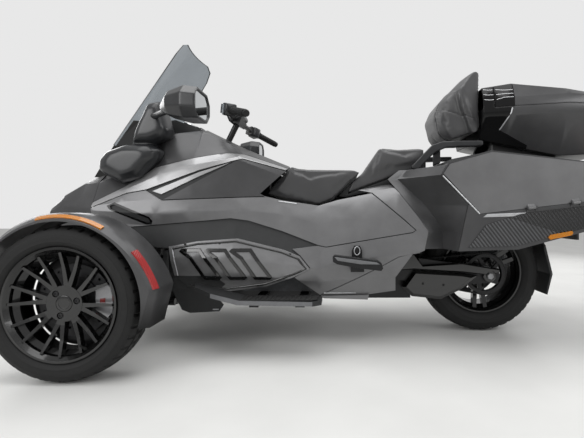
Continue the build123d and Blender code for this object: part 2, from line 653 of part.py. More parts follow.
LINER_OUTLINE = [(-1090, 470), (-1090, 640), (-986, 722), (-876, 800), (-723, 845), (-565, 880),
                 (-486, 876),
                 (-300, 800), (-412, 690), (-300, 655), (-127, 630), (60, 690), (240, 694), (328, 574),
                 (358, 521), (338, 440), (200, 380), (210, 262), (-100, 248), (-231, 333), (-357, 288),
                 (-534, 264),
                 (-700, 284), (-750, 336), (-776, 450)]


def cut_panel(band, points):
    return band & slab(points, -460, -60)


def grown_slab(points):
    """Prism round a neighbouring panel, one seam wider than it."""
    return slab(inset(points, -SEAM), -460, -60)


def side_panels():
    band = side_skin(0, PANEL)
    shoulder = SHOULDER_LINE + list(reversed(SLOT_TOP))
    tank = [(-820, 667), (-508, 850), (-479, 857)] + SEAT_EDGE + [(-374, 685), (-479, 682)]
    fairing = [(x, z + 1.6) for x, z in SHOULDER_LINE] + [(-284, 900), (-420, 1100), (-1135, 1100)]
    mid = MID_TOP + MID_REAR + MID_SILL
    return [
        ("fairing_sides", cut_panel(band, fairing)),
        ("fairing_sides", cut_panel(band, tank)),
        ("shoulder_panels", cut_panel(band, shoulder)),
        ("mid_panels", cut_panel(band, mid) - grown_slab(tank) - slab(LOUVRE_OUTLINE, -460, -300)),
        ("lower_side_panels",
         cut_panel(band, LOWER_OUTLINE) - grown_slab(VENT_OUTLINE) - grown_slab(SKIRT_OUTLINE)),
        ("lower_side_panels", cut_panel(band, SKIRT_OUTLINE)),
        ("vent_panels", vent_panel(band)),
        ("vent_panels", cut_panel(band, SHIELD_OUTLINE) - grown_slab(VENT_OUTLINE)),
        ("side_liners", cut_panel(side_skin(PANEL + LINER_GAP, LINER_WALL), LINER_OUTLINE)),
    ]


# Hooked slots of the vent panel: ring corners of the first one as (x, z), and the shift of each
SLOT_RING = [(-738, 438), (-726, 450), (-642, 450), (-548, 322), (-560, 311), (-626, 311), (-688, 404)]
SLOT_HEART = [(-711.7, 436.5), (-648.9, 436.5), (-566.6, 324.5), (-618.8, 324.5), (-678.3, 413.7)]
SLOT_SHIFTS = (0.0, 112.0, 222.0)


def shifted(points, shift):
    return [(x + shift, z) for x, z in points]


def slot_ring(shift, gap):
    """Gloss band round one slot, drawn in by a gap on both its sides."""
    outer = slab(inset(shifted(SLOT_RING, shift), gap), -460, -300)
    return outer - slab(shifted(SLOT_HEART, shift), -460, -300)


def vent_panel(band):
    """Panel with three hooked grooves and the island inside each."""
    panel = cut_panel(band, VENT_OUTLINE)
    for shift in SLOT_SHIFTS:
        groove = slab(shifted(SLOT_RING, shift), -460, -300)
        panel -= groove - slab(inset(shifted(SLOT_HEART, shift), SEAM), -460, -300)
    return panel


def vent_trims():
    """Gloss bands that stand proud in the three grooves."""
    band = side_skin(-5.0, 10.0)
    return [band & slot_ring(shift, SEAM) for shift in SLOT_SHIFTS]


def slot_blades():
    """Silver blade lying in each long shoulder slot."""
    blade = [(-872, 706), (-666, 796), (-530, 842), (-660, 780), (-830, 692)]
    return side_skin(PANEL - 5.0, 5.0) & slab(blade, -460, -60)


def inner_arch():
    """Upright panel behind the front wheel, from the arm tower out to the side skin."""
    back = FRONT_AXLE_X + TOWER_SPREAD + 22 + SEAT_GAP
    plate = plan_prism([(back, -150), (back, -330), (-812, -352), (-807, -347), (back + 6, -326),
                        (back + 6, -150)],
                       RAIL_HIGH + 12, 600)
    flange = plan_prism([(-820, -344), (-812, -352), (-795, -378), (-789, -375), (-806, -346)],
                        RAIL_HIGH + 12, 440)
    return fused([plate, flange])


# Panel between the lower side panel and the case: z, then (x, half-width) of front edge, valley and case edge
COLUMN_LEVELS = [
    (446, (355, 368), (438, 345), (469.2, 477)),
    (522, (372.6, 359), (441, 337), (485.6, 477)),
    (576, (339.6, 345), (412, 330), (497.3, 477)),
    (640, (293.8, 324), (365, 322), (511.2, 477)),
    (690, (258, 300), (318, 300), (467.4, 477)),
    (768, (200, 250), (245, 258), (399.2, 474)),
    (812, (255, 236), (290, 250), (424.6, 465)),
]
COLUMN_WALL = [(0, 6), (2, 6), (0, 8.5)]


def column_panel():
    """Concave panel that joins the side skin to the front of the case, with its top plate."""
    sections = []
    for z, *edges in COLUMN_LEVELS:
        outer = [(x, -half, z) for x, half in edges]
        inner = [(x + dx, -half + dy, z) for (x, half), (dx, dy) in zip(edges, COLUMN_WALL)]
        sections.append(outer + inner[::-1])
    top = COLUMN_LEVELS[-1]
    (ax, ay), (bx, by), (cx, cy) = top[1:]
    plate = plan_prism([(ax, -ay), (bx, -by), (cx - 4, -cy + 7), (cx - 4, -209), (ax, -209)], top[0] - 6,
                       top[0])
    return fused([skin(sections), plate])


def tank_cover():
    """Console over the spine between the rider's knees, with the hole for the steering column."""
    sections = []
    for x, half, z in [(-702, 187, 1013), (-500, 167, 916), (-420, 161, 884), (-290, 150, 832)]:
        half -= PANEL + SEAT_GAP
        outer = [(x, -half, z), (x, -half * 0.6, z + 16), (x, half * 0.6, z + 16), (x, half, z)]
        inner = [(x, y, h - PANEL) for _, y, h in reversed(outer)]
        sections.append(outer + inner)
    cover = skin(sections)
    return cover - bar(steer_point(60), steer_point(420), COLUMN_RADIUS + 16)


# Nose and front storage
NOSE_LEVELS = [
    # z, front x, front half-width, corner x, corner half-width, side x, side half-width
    (205, -1330, 150, -1262, 286, -1142, 322),
    (380, -1384, 170, -1306, 322, -1142, 352),
    (520, -1416.5, 140, -1345, 328, -1142, 374),
    (606, -1402, 200, -1360, 318, -1142, 364),
]


def nose_shell(inset, low=0.0, high=0.0):
    """Solid inside the nose at an inset, from the lowest to the highest level."""
    sections = []
    for i, (z, fx, fy, cx, cy, sx, sy) in enumerate(NOSE_LEVELS):
        k = inset
        if i == 0:
            z -= low
        if i == len(NOSE_LEVELS) - 1:
            z += high
        sections.append([(sx, -(sy - k), z), (cx + k, -(cy - k), z), (fx + k, -(fy - k * 0.4), z),
                         (fx + k, fy - k * 0.4, z), (cx + k, cy - k, z), (sx, sy - k, z)])
    return skin(sections)


# Painted surround beside the hood: x, then (half-width, height) of rim, flank, crease, ridge and lid edge
SURROUND_STATIONS = [
    (-1378, (267, 606.5), (262, 609), (255, 613), (246, 618), (237, 620)),
    (-1360, (318, 606.5), (314, 616), (305, 628), (286, 638), (244, 640)),
    (-1300, (330, 606.5), (329, 640), (323, 664), (303, 688), (267, 690)),
    (-1204, (350, 606.5), (352, 634), (344, 668), (318, 738), (273, 760)),
    (-1135.8, (374, 606.5), (377, 630), (363, 655), (316, 745), (262.5, 786)),
]
SURROUND_WALL = [(-7, 0), (-7, -1), (-6, -4), (-3, -7), (0, -7)]
# Sloping deck between the fairing and the screen cowl: x, then (half-width, height) of both edges
DECK_STATIONS = [(-1134.5, (316, 745.3), (247.4, 787)), (-1012, (266.8, 813.6), (226.5, 828))]


def hood_surround():
    sections = []
    for x, *rows in SURROUND_STATIONS:
        outer = [(x, -half, z) for half, z in rows]
        inner = [(x, -(half + dy), z + dz) for (half, z), (dy, dz) in zip(rows, SURROUND_WALL)]
        sections.append(outer + inner[::-1])
    return skin(sections)


def screen_deck(grow, depth):
    """Deck raised by a gap, with its outer edge resting on the fairing's rim."""
    sections = []
    for x, (low_half, low_z), (high_half, high_z) in DECK_STATIONS:
        sections.append([(x, -low_half, low_z + grow), (x, -high_half, high_z + grow),
                         (x, -high_half, high_z - depth), (x, -low_half + 12, low_z)])
    return skin(sections)


LAMP_OUTLINE = [(-330, 560), (-176, 500), (-182, 452), (-250, 430), (-345, 500)]
GRILLE_OUTLINE = [(-150, 400), (150, 400), (120, 250), (-120, 250)]


def nose():
    """Front fascia with its grille mouth and two headlamp openings."""
    shell = nose_shell(0) - nose_shell(PANEL, low=2.0, high=2.0)
    shell -= front_prism(GRILLE_OUTLINE, -1500, -1200)
    for outline in (LAMP_OUTLINE, [(-y, z) for y, z in LAMP_OUTLINE]):
        shell -= front_prism(outline, -1500, -1150)
    fixed, moving = lid_hinges()
    return fused([shell] + fixed)


def headlamps():
    """Clear lenses with their closed housings, set in the fascia's openings."""
    def shrunk(points, gap):
        cy = sum(p[0] for p in points) / len(points)
        cz = sum(p[1] for p in points) / len(points)
        out = []
        for y, z in points:
            reach = hypot(y - cy, z - cz)
            out.append((y + (cy - y) * gap / reach, z + (cz - z) * gap / reach))
        return out
    outline = shrunk(LAMP_OUTLINE, 1.6)
    lens = (nose_shell(1.0) - nose_shell(30.0, low=2, high=2)) & front_prism(outline, -1500, -1150)
    return lens


def grille():
    """Horizontal slats in the nose's mouth on two uprights."""
    zone = nose_shell(3.0) - nose_shell(26.0, low=2, high=2)
    pieces = []
    for i in range(7):
        z = 262 + i * 20
        half = 120 + 30 * (z - 250) / 150 - 0.4
        pieces.append(zone & block(-1420, -1200, -half, half, z, z + 7))
    uprights = nose_shell(10.0) - nose_shell(20.0, low=2, high=2)
    for y in (-60, 60):
        pieces.append(uprights & block(-1420, -1200, y - 5, y + 5, 251, 399))
    return fused(pieces)


LID_HINGE = (-1384.0, 0.0, 612.0)


def lid_sections(inset, depth):
    sections = []
    for x, centre, edge, half in [(-1378, 652, 622, 232), (-1300, 712, 688, 262), (-1204, 782, 758, 268)]:
        half -= inset
        outer = [(x, -half, edge - 26), (x, -half + 6, edge), (x, -half * 0.5, centre),
                 (x, half * 0.5, centre),
                 (x, half - 6, edge), (x, half, edge - 26)]
        inner = [(x, half - depth, edge - 26), (x, half - depth - 6, edge - depth),
                 (x, half * 0.5, centre - depth), (x, -half * 0.5, centre - depth),
                 (x, -half + depth + 6, edge - depth), (x, -half + depth, edge - 26)]
        sections.append(outer + inner)
    return sections


def frunk_lid():
    """Hood over the front storage, hinged at its front edge."""
    fixed, moving = lid_hinges()
    return fused([skin(lid_sections(0, 9.0))] + moving)


def lid_hinges():
    fixed, moving = [], []
    for y in (-120, 120):
        a, b = hinge((LID_HINGE[0], y, LID_HINGE[2]), (0, 1, 0), (-15, 0, -16), (16, 0, 36))
        fixed.append(a)
        moving.append(b)
    return fixed, moving


def front_bin():
    """Open tub below the hood."""
    back = TOWER_FRONT_X - SEAT_GAP
    plan = [(-1338, -150), (-1262, -238), (back, -238), (back, 238), (-1262, 238), (-1338, 150)]
    return plan_prism(plan, 440, 620) - plan_prism(inset(plan, BAG_WALL), 440 + BAG_WALL, 700)


# Screen, cowl and fairing pods
SCREEN_LOW = (930.0, -1150.0, -1100.0, 262.0)
SCREEN_HIGH = (1448.0, -806.0, -772.0, 226.0)


def screen_curve(row, back):
    """Crescent at one level: height, centre x, edge x, half-width."""
    z, centre, edge, half = row
    front = ThreePointArc((edge, -half, z), (centre, 0, z), (edge, half, z))
    rear = ThreePointArc((edge + back, half, z), (centre + back, 0, z), (edge + back, -half, z))
    return make_face([front, Line((edge, half, z), (edge + back, half, z)), rear,
                      Line((edge + back, -half, z), (edge, -half, z))])


def windshield():
    sheet = loft([screen_curve(SCREEN_LOW, 6.0), screen_curve(SCREEN_HIGH, 6.0)], ruled=True)
    corner = 70.0
    half = 224.0
    top = SCREEN_HIGH[0]
    outline = [(-262, 925), (-half, top - corner), (-half + corner * 0.3, top - corner * 0.3),
               (-half + corner, top), (half - corner, top), (half - corner * 0.3, top - corner * 0.3),
               (half, top - corner), (262, 925)]
    return sheet & front_prism(outline, -1200, -700)


def screen_cowl():
    """Black cowl that closes the nose below the screen and backs its lower edge."""
    low = (778.0, -1208.0, -1196.0, 262.0)
    mid = (928.0, -1151.0, -1101.0, 262.0)

    def level(row, shift, depth, trim):
        z, centre, edge, half = row
        half -= trim
        return [(edge + shift, -half, z), (centre + shift + 8, -half * 0.5, z),
                (centre + shift + 8, half * 0.5, z),
                (edge + shift, half, z), (edge + shift + depth, half * 0.86, z),
                (edge + shift + depth, -half * 0.86, z)]
    lower = skin([level(low, 4, 190, 6), level(mid, 0, 150, 6)])
    top = (1050.0, -1072.0, -1025.0, 252.0)
    backing = skin([level(mid, 10, 140, 8), level(top, 12, 60, 8)])
    return fused([lower, backing])


UPPER_POD = [(-978, 925), (-958, 995), (-921, 1070), (-904, 1111), (-855, 1120), (-835, 1064), (-814, 988),
             (-830, 955), (-896, 925)]
LOWER_POD = [(-1117, 800), (-1117, 846), (-1084, 886), (-995, 918), (-882, 918), (-842, 893), (-849, 854),
             (-890, 812), (-931, 764), (-1012, 740), (-1076, 772)]
# Distance from the centre plane of a pod's root, edge and face, and the face's share of the outline
UPPER_POD_LEVELS = (236.0, 322.0, 358.0, 0.64)
LOWER_POD_LEVELS = (250.0, 344.0, 392.0, 0.60)


def pod(outline, levels):
    """Rounded side pod that grows from the fairing and narrows to a smaller outer face."""
    root, edge, face, share = levels
    cx = sum(p[0] for p in outline) / len(outline)
    cz = sum(p[1] for p in outline) / len(outline)

    def level(y, factor):
        return [(cx + (x - cx) * factor, -y, cz + (z - cz) * factor) for x, z in outline]
    shape = skin([level(root, 1.0), level(edge, 1.0),
                  level(edge + (face - edge) * 0.6, (1.0 + share) * 0.54),
                  level(face, share)])
    shape = shape - side_skin(-SEAT_GAP, 90.0) - screen_cowl()
    shape = shape - screen_deck(SEAT_GAP, 60.0) - screen_deck(0.0, PANEL)
    return max(shape.solids(), key=lambda solid: solid.volume)


# Mirror shell: x, then inner y, outer y, low z and high z
MIRROR_LEVELS = [
    (-732, -552, -598, 1006, 1040),
    (-690, -522, -655, 986, 1076),
    (-620, -506, -690, 968, 1092),
    (-562, -508, -690, 966, 1084),
]
MIRROR_GLASS = [(-520, 998), (-520, 1052), (-542, 1072), (-656, 1072), (-678, 1052), (-678, 998),
                (-656, 978),
                (-542, 978)]


def mirror_housing():
    """Arm and shell of the left mirror; the shell's open side faces the rear."""
    sections = []
    for x, y0, y1, z0, z1 in MIRROR_LEVELS:
        c = 0.30 * (z1 - z0)
        sections.append([(x, y0, z0 + c), (x, y0, z1 - c), (x, y0 - c, z1), (x, y1 + c, z1),
                         (x, y1, z1 - c),
                         (x, y1, z0 + c), (x, y1 + c, z0), (x, y0 - c, z0)])
    shell = skin(sections)
    shell -= front_prism(MIRROR_GLASS, -574, -550)
    arm = bar((-880, -338, 1046), (-694, -545, 1030), 15.0, 12.0)
    return fused([shell, arm - pod(UPPER_POD, UPPER_POD_LEVELS)])


def mirror_glass():
    return front_prism(inset(MIRROR_GLASS, 0.8), -573.7, -569)


def dash():
    """Instrument binnacle behind the screen."""
    profile = [(-950.6, 935), (-952.4, 1048), (-905, 1060), (-840, 1068), (-716, 1022), (-716, 1002),
               (-780, 930)]
    return slab(profile, -172, 172)


def handlebar():
    """Column, clamp and bar with switch pods."""
    column = bar(steer_point(0), steer_point(330), COLUMN_RADIUS)
    cx, _, cz = steer_point(330)
    clamp = Pos(cx, 0, cz) * (Rot(0, RAKE, 0) * Box(56, 130, 34))
    path = [(cx, 0, cz), (cx - 4, 150, cz + 12), (-560, 262, 1098), (-444, 402, 1047)]
    parts = [column, clamp]
    for side in (-1, 1):
        spots = [(x, side * y, z) for x, y, z in path]
        parts.append(bar(spots[0], spots[1], 13.0))
        parts.append(bar(spots[1], spots[2], 13.0))
        parts.append(bar(spots[2], spots[3], 11.0))
        parts.append(Pos(*spots[1]) * Sphere(13.0))
        parts.append(Pos(*spots[2]) * Sphere(13.0))
        pod_at = Vector(*spots[2]) + (Vector(*spots[3]) - Vector(*spots[2])) * 0.12
        parts.append(Plane(origin=pod_at, z_dir=Vector(*spots[3]) - Vector(*spots[2])) *
                     Pos(0, 0, -22) * Box(48, 42, 44))
    return fused(parts)


def grips():
    shapes = []
    for side in (-1, 1):
        a, b = Vector(-560, side * 262, 1098), Vector(-444, side * 402, 1047)
        start = a + (b - a) * 0.27
        upright = (Align.CENTER, Align.CENTER, Align.MIN)
        grip = Plane(origin=start, z_dir=b - a) * Cylinder(17, 138, align=upright)
        core = Plane(origin=start - (b - a) * 0.1, z_dir=b - a) * (
            Cylinder(11.2, 200, align=(Align.CENTER, Align.CENTER, Align.MIN)))
        shapes.append(grip - core)
    return shapes


# Seats and rear end
def driver_seat():
    profile = [(-268, 828), (-386, 696), (-300, 672), (-127, 646), (-60, 672), (26, 762), (76, 803),
               (50, 812),
               (-128, 817), (-228, 820)]
    seat = slab(profile, -232, 232)
    seat -= block(-420, 60, -252, 252, 600, 640)
    seat -= block(-420, 100, -178, 178, 600, SPINE_HIGH + SEAT_GAP)
    return seat


def passenger_seat():
    seat = slab([(4, 700), (31, 757), (82, 798), (166, 921), (269, 918), (385, 921), (392, 842), (330, 818),
                 (206, 776), (100, 738)], -205, 205)
    return seat - block(0, 420, -178, 178, 600, SPINE_HIGH + SEAT_GAP)


# Backrest outlines in side view as (x, z), and how far its sides lie behind its middle
BACK_CUSHION = [(450, 1103), (478, 1166), (516, 1210), (545, 1216), (612, 990), (508, 966), (470, 1010)]
BACK_SHELL = [(528, 1216), (578, 1268), (612, 1302), (636, 1303), (CASE_FRONT_X - SEAT_GAP, 1288),
              (CASE_FRONT_X - SEAT_GAP, 1018), (636, 994), (604, 986),
              (578, 1052), (545, 1121), (524, 1180)]
BACK_SWEEP = 34.0


def wrapped(outline, half, sweep):
    """Cushion along Y whose front points fall back towards its sides; its rear points stay."""
    rear = max(x for x, _ in outline)
    front = min(x for x, _ in outline)

    def level(y, shift):
        return [(x + shift * (rear - x) / (rear - front), y, z) for x, z in outline]
    return skin([level(-half, sweep), level(-half * 0.62, 0), level(half * 0.62, 0), level(half, sweep)])


def backrest():
    """Passenger's backrest: a forward cushion in a taller, wider shell before the top case."""
    return fused([wrapped(BACK_CUSHION, 186.0, BACK_SWEEP), wrapped(BACK_SHELL, 218.0, BACK_SWEEP)])


# Hinges: a pin between two ears on the fixed side, a drilled barrel on the moving side
PIN_RADIUS = 3.0
BARREL_RADIUS = 7.0
BARREL_HALF = 15.0
EAR_WIDTH = 5.0


def hinge(centre, along, root, leaf):
    """Fixed and moving halves at a centre; root and leaf are offsets to what they hold on to."""
    c, step = Vector(*centre), Vector(*along)

    def at(shift, offset=(0, 0, 0)):
        return c + step * shift + Vector(*offset)
    reach = BARREL_HALF + 1.0
    fixed = [bar(at(-reach - EAR_WIDTH), at(reach + EAR_WIDTH), PIN_RADIUS)]
    for side in (-1, 1):
        middle = side * (reach + EAR_WIDTH / 2)
        start = at(middle)
        fixed.append(bar(start - step * (EAR_WIDTH / 2), start + step * (EAR_WIDTH / 2), BARREL_RADIUS))
        fixed.append(strap(start, at(middle, root), step, EAR_WIDTH))
    barrel_bar = bar(at(-BARREL_HALF), at(BARREL_HALF), BARREL_RADIUS)
    tab = strap(c, at(0, leaf), step, 2 * BARREL_HALF)
    moving = fused([barrel_bar, tab]) - bar(at(-BARREL_HALF - 1), at(BARREL_HALF + 1),
                                            PIN_RADIUS + BEARING_CLEARANCE)
    return fused(fixed), moving


def strap(start, end, step, width, thickness=8.0):
    """Flat link between two points, as wide along the hinge line as given."""
    a, b = Vector(*start), Vector(*end)
    plane = Plane(origin=a, x_dir=step, z_dir=b - a)
    return extrude(plane * Rectangle(width, thickness), amount=(b - a).length)


# Side cases
CASE_OUTLINE = [(400, 768), (512, 640), (470, 446), (720, 454), (1120, 560), (1250, 600), (1262, 812),
                (1028, 823), (609, 871), (430, 820)]
DOOR_OUTLINE = [(408, 772), (564, 604), (734, 624), (999, 655), (1254, 684), (1254, 806), (1027, 816),
                (611, 863), (436, 813)]
CASE_OUT = 486.0
DOOR_WALL = 7.0


def side_case():
    """Tub with its lower outer wall; the upper outer side is left to the door."""
    door_plane = -(CASE_OUT - DOOR_WALL - SEAM)
    tub = slab(CASE_OUTLINE, door_plane, -CASE_IN)
    lower = slab([(512, 642), (470, 446), (720, 454), (1120, 560), (1250, 600), (1256, 682), (999, 653),
                  (734, 622), (566, 602), (528, 640)], -CASE_OUT, door_plane)
    cavity = slab(inset(CASE_OUTLINE, BAG_WALL), door_plane + BAG_WALL, -CASE_IN - BAG_WALL)
    mouth = slab(inset(DOOR_OUTLINE, 12), -CASE_OUT - 1, door_plane + BAG_WALL + 1)
    return fused([tub, lower]) - cavity - mouth


def side_door():
    return slab(DOOR_OUTLINE, -CASE_OUT, -(CASE_OUT - DOOR_WALL))


DOOR_HINGE_LINE = (734.0, 624.0, 999.0, 655.0)


def door_hinges():
    """Fixed and moving halves along the door's lower edge."""
    fixed, moving = [], []
    x0, z0, x1, z1 = DOOR_HINGE_LINE
    along = Vector(x1 - x0, 0, z1 - z0).normalized()
    for share in (0.15, 0.85):
        x, z = x0 + (x1 - x0) * share, z0 + (z1 - z0) * share
        centre = (x, -CASE_OUT - 8.5, z)
        a, b = hinge(centre, tuple(along), (1.5, 12.0, -14.0), (-1.5, 12.0, 14.0))
        fixed.append(a)
        moving.append(b)
    return fixed, moving


# Top case
TOP_STATIONS = [
    # x, base half, base z, seam half, seam z, top half, top z
    (CASE_FRONT_X, 190, 966, 262, 1104, 236, 1206),
    (780, 200, 940, 292, 1106, 262, 1220),
    (1038, 205, 888, 304, 1119, 268, 1196),
    (1300, 190, 900, 286, 1114, 246, 1160),
    (1416.5, 150, 985, 236, 1110, 200, 1132),
]
TOP_HINGE = (700.0, 0.0, 1212.0)
LID_START = 704.0


def top_base_body(inward, rise, back=0.0):
    sections = []
    for i, (x, hb, zb, hs, zs, ht, zt) in enumerate(TOP_STATIONS):
        x += back if i == 0 else (-back if i == len(TOP_STATIONS) - 1 else 0)
        sections.append([(x, -(hb - inward), zb + inward), (x, -(hs - inward), zs - 40),
                         (x, -(hs - inward), zs + rise),
                         (x, hs - inward, zs + rise), (x, hs - inward, zs - 40),
                         (x, hb - inward, zb + inward)])
    return skin(sections)


def top_lid_body(inward, sink, back=0.0):
    sections = []
    for i, (x, hb, zb, hs, zs, ht, zt) in enumerate(TOP_STATIONS):
        x += back if i == 0 else (-back if i == len(TOP_STATIONS) - 1 else 0)
        sections.append([(x, -(hs - inward), zs + 1.6 - sink), (x, -(hs - 4 - inward), zs + 44),
                         (x, -(ht - inward), zt - inward), (x, ht - inward, zt - inward),
                         (x, hs - 4 - inward, zs + 44), (x, hs - inward, zs + 1.6 - sink)])
    return skin(sections)


def top_case_base():
    """Open tub with the tall front wall that carries the lid's hinge."""
    tub = top_base_body(0, 0) - top_base_body(BAG_WALL, 3, BAG_WALL)
    front = (top_lid_body(0, 1.6) - top_lid_body(BAG_WALL, 8)) & block(640, LID_START - 3, -300, 300, 1104,
                                                                       1230)
    wall = top_lid_body(0, 1.6) & block(676, 683, -300, 300, 1104, 1230)
    return fused([tub, front, wall])


def top_case_lid():
    shell = top_lid_body(0, 0) - top_lid_body(BAG_WALL, 6, BAG_WALL)
    return shell & block(LID_START, 1500, -400, 400, 1000, 1300)


def top_hinges():
    fixed, moving = [], []
    for y in (-140, 140):
        a, b = hinge((TOP_HINGE[0], y, TOP_HINGE[2] + 7), (0, 1, 0), (-14, 0, -14), (14, 0, -4))
        fixed.append(a)
        moving.append(b)
    return fixed, moving


def grab_handles():
    """Left passenger rail from the seat to the top case, on a bracket that stands on the tail."""
    profile = [(310, 812.3), (306, 824), (404, 926), (456, 943), (640, 947), (640, 921), (470, 914),
               (420, 892),
               (352, 826), (346, 812.3)]
    rail = slab(profile, -292, -252)
    arm = slab([(432, 898), (468, 920), (468, 934), (432, 912)], -252, -165)
    foot = slab([(432, 838.0), (468, 852.1), (468, 934), (432, 912)], -180, -165)
    return fused([rail, arm, foot])


def floorboard():
    """Footboard beside the vent panel, on two brackets from the lower rail."""
    plan = [(-664, -398), (-640, -470), (-560, -520), (-140, -520), (-104, -490), (-104, -398)]
    board = plan_prism(plan, 222, 244)
    lift = slab([(-660, 300), (-660, 284), (-450, 228), (-104, 222), (-104, 240), (-440, 246)], -520, -398)
    return (plan_prism(plan, 200, 320) & lift)


def passenger_peg():
    """Left peg folded up against the side panel, with its bracket."""
    plate = slab([(-58, 420), (-50, 428), (136, 404), (150, 394), (156, 372), (148, 362), (60, 372),
                  (-38, 390),
                  (-56, 400)], -470, -430)
    arm = block(20, 78, -431, -372, 352, 384)
    hanger = slab([(26, 352), (72, 352), (72, 440), (62, 462), (36, 462), (26, 440)], -378, -370.5)
    return fused([plate, arm, hanger])


# Guard outlines over the left swingarm in side view
GUARD_BLADE = [(246, 330), (300, 405), (330, 413), (372, 356), (560, 368), (742, 338), (746, 322),
               (700, 306),
               (560, 322), (330, 336)]
GUARD_BOWL = [(270, 250), (330, 333), (560, 319), (640, 305), (560, 238), (461, 190), (320, 205)]


def domed(outline, inner_y, edge_y, face_y, draw_in):
    """Cover with a bevelled outer edge."""
    def level(y, gap):
        return [(x, y, z) for x, z in inset(outline, gap)]
    return skin([level(inner_y, 0.0), level(edge_y, 0.0), level(face_y, draw_in)])


def belt_cover():
    """Guard over the left swingarm: a gloss upper blade and the bolted lower cover."""
    seat = -FRAME_OUT - 33 - SEAT_GAP
    nut = bar((REAR_AXLE_X, -240, REAR_TYRE_RADIUS), (REAR_AXLE_X, -190, REAR_TYRE_RADIUS), 27.0)
    return [domed(GUARD_BLADE, seat, -222, -234, 6.0) - nut,
            domed(GUARD_BOWL, seat, -214, -230, 16.0) - nut]


def muffler():
    """Flattened silencer low on the right, with its inlet pipe, outlet and hanger to the seat rail."""
    can = bar((470, 300, 300), (980, 330, 340), 74.0, 84.0)
    exit_x = ENGINE_BACK + SEAT_GAP
    elbow = (300, 250, 235)
    inlet = [bar((exit_x, 180, 250), (exit_x + 18, 180, 250), 26.0),
             bar((exit_x + 13, 180, 250), elbow, 26.0),
             Pos(*elbow) * Sphere(26.0), bar(elbow, (474, 300, 300), 26.0)]
    outlet = bar((976, 330, 340), (1040, 334, 345), 34.0)
    hanger = [block(750, 790, 214, 220, 345, 690), block(750, 790, 214, 260, 345, 357),
              block(750, 790, FRAME_OUT + SEAT_GAP, 220, 662, 690)]
    return fused([can, outlet] + inlet + hanger) - bar((990, 331, 341), (1060, 335, 346), 28.0)


def rear_fender():
    """Arch over the rear tyre that carries the blank plate bracket and the mudflap."""
    def arc(radius, start, end, y):
        mx, mz = polar(radius, (start + end) / 2)
        sx, sz = polar(radius, start)
        ex, ez = polar(radius, end)
        return (Vector(REAR_AXLE_X + sx, y, REAR_TYRE_RADIUS + sz),
                Vector(REAR_AXLE_X + mx, y, REAR_TYRE_RADIUS + mz),
                Vector(REAR_AXLE_X + ex, y, REAR_TYRE_RADIUS + ez))
    y = -132.0
    outer = arc(REAR_TYRE_RADIUS + 39, 24, 128, y)
    inner = arc(REAR_TYRE_RADIUS + 34, 128, 24, y)
    face = make_face([ThreePointArc(*outer), Line(outer[2], inner[0]), ThreePointArc(*inner),
                      Line(inner[2], outer[0])])
    arch = extrude(face, amount=-2 * y, dir=(0, 1, 0))
    top = 2 * REAR_TYRE_RADIUS + 37.0
    lugs = [block(REAR_AXLE_X - 20, REAR_AXLE_X + 20, y0, y0 + 8, top - 2,
                  SPINE_HIGH - 50 - SEAT_GAP) for y0 in (-130, 122)]
    arch = fused([arch] + lugs)
    flap = slab([(1002, 452), (1010, 446), (1046, 300), (1020, 196), (1012, 198), (1034, 300),
                 (1004, 420)], y, -y)
    return [arch, flap]


def tail_panel():
    """Rear closing panel between the cases with the plate bracket."""
    panel = skin([
        [(1261.3, -232, 700), (1282, -232, 700), (1282, 232, 700), (1261.3, 232, 700)],
        [(1261.3, -228, 800), (1310, -228, 800), (1310, 228, 800), (1261.3, 228, 800)],
    ])
    hanger = slab([(1190, 570), (1200, 560), (1280, 699.5), (1262, 699.5)], -60, 60)
    plate = block(1190, 1200, -95, 95, 470, 590)
    holder = fused([hanger, plate])
    for y in PLATE_BOLT_Y:
        holder -= bar((1180, y, 533), (1210, y, 533), 3.3)
    return [panel, holder]


PLATE_BOLT_Y = (-75.0, 75.0)


def tail_lamps():
    """Left light cluster at the rear end of the case."""
    return slab([(1256, 700), (1286, 706), (1300, 770), (1292, 800), (1262, 806)], -470, -250)


# Cover between the cases: x, half-width, low z, high z
TAIL_STATIONS = [(402, 206, 709, 826), (520, 218, 709, 872), (640, 226, 709, 896), (1000, 232, 709, 876),
                 (1261, 226, 709, 824)]


def tail_body():
    """Cover between the side cases, under the seat and the top case."""
    sections = []
    for x, half, low, high in TAIL_STATIONS:
        sections.append([(x, -half, low), (x, -half, high - 20), (x, -half + 20, high),
                         (x, half - 20, high),
                         (x, half, high - 20), (x, half, low)])
    cover = skin(sections)
    for side in (-1, 1):
        y0, y1 = sorted((side * (POST_IN - SEAT_GAP), side * (POST_OUT + SEAT_GAP)))
        cover -= slab(inset(CASE_POST, -SEAT_GAP), y0, y1)
    return cover


def case_trims():
    """Dark ribbed garnish on the lower outer face of the left case."""
    plate = slab([(584, 556), (512, 462), (718, 470), (1112, 574), (1236, 612), (1240, 664), (999, 636),
                  (734, 604)],
                 -CASE_OUT - 4, -CASE_OUT - SEAT_GAP)
    return plate


def side_markers():
    return slab([(842, 506), (850, 496), (938, 514), (946, 524), (940, 532), (852, 516)], -CASE_OUT - 10,
                -CASE_OUT - 4.3)


def sill_strips():
    return slab([(-112, 233.3), (-100, 222), (98, 216), (104, 237.3)], -350, -334)


def fender_reflectors():
    """Red reflector on the outer chamfer of the fender's tail."""
    corners = []
    for angle, radius in ((36, 318), (22, 318), (9.5, 318), (9.5, 372), (22, 372), (36, 372)):
        px, pz = polar(radius, angle)
        corners.append((FRONT_AXLE_X + px, FRONT_TYRE_RADIUS + pz))
    sector = slab(corners, -HALF_TRACK - 74, -HALF_TRACK - 55)
    return (fender_solid(4.0) - fender_solid(SEAT_GAP)) & sector


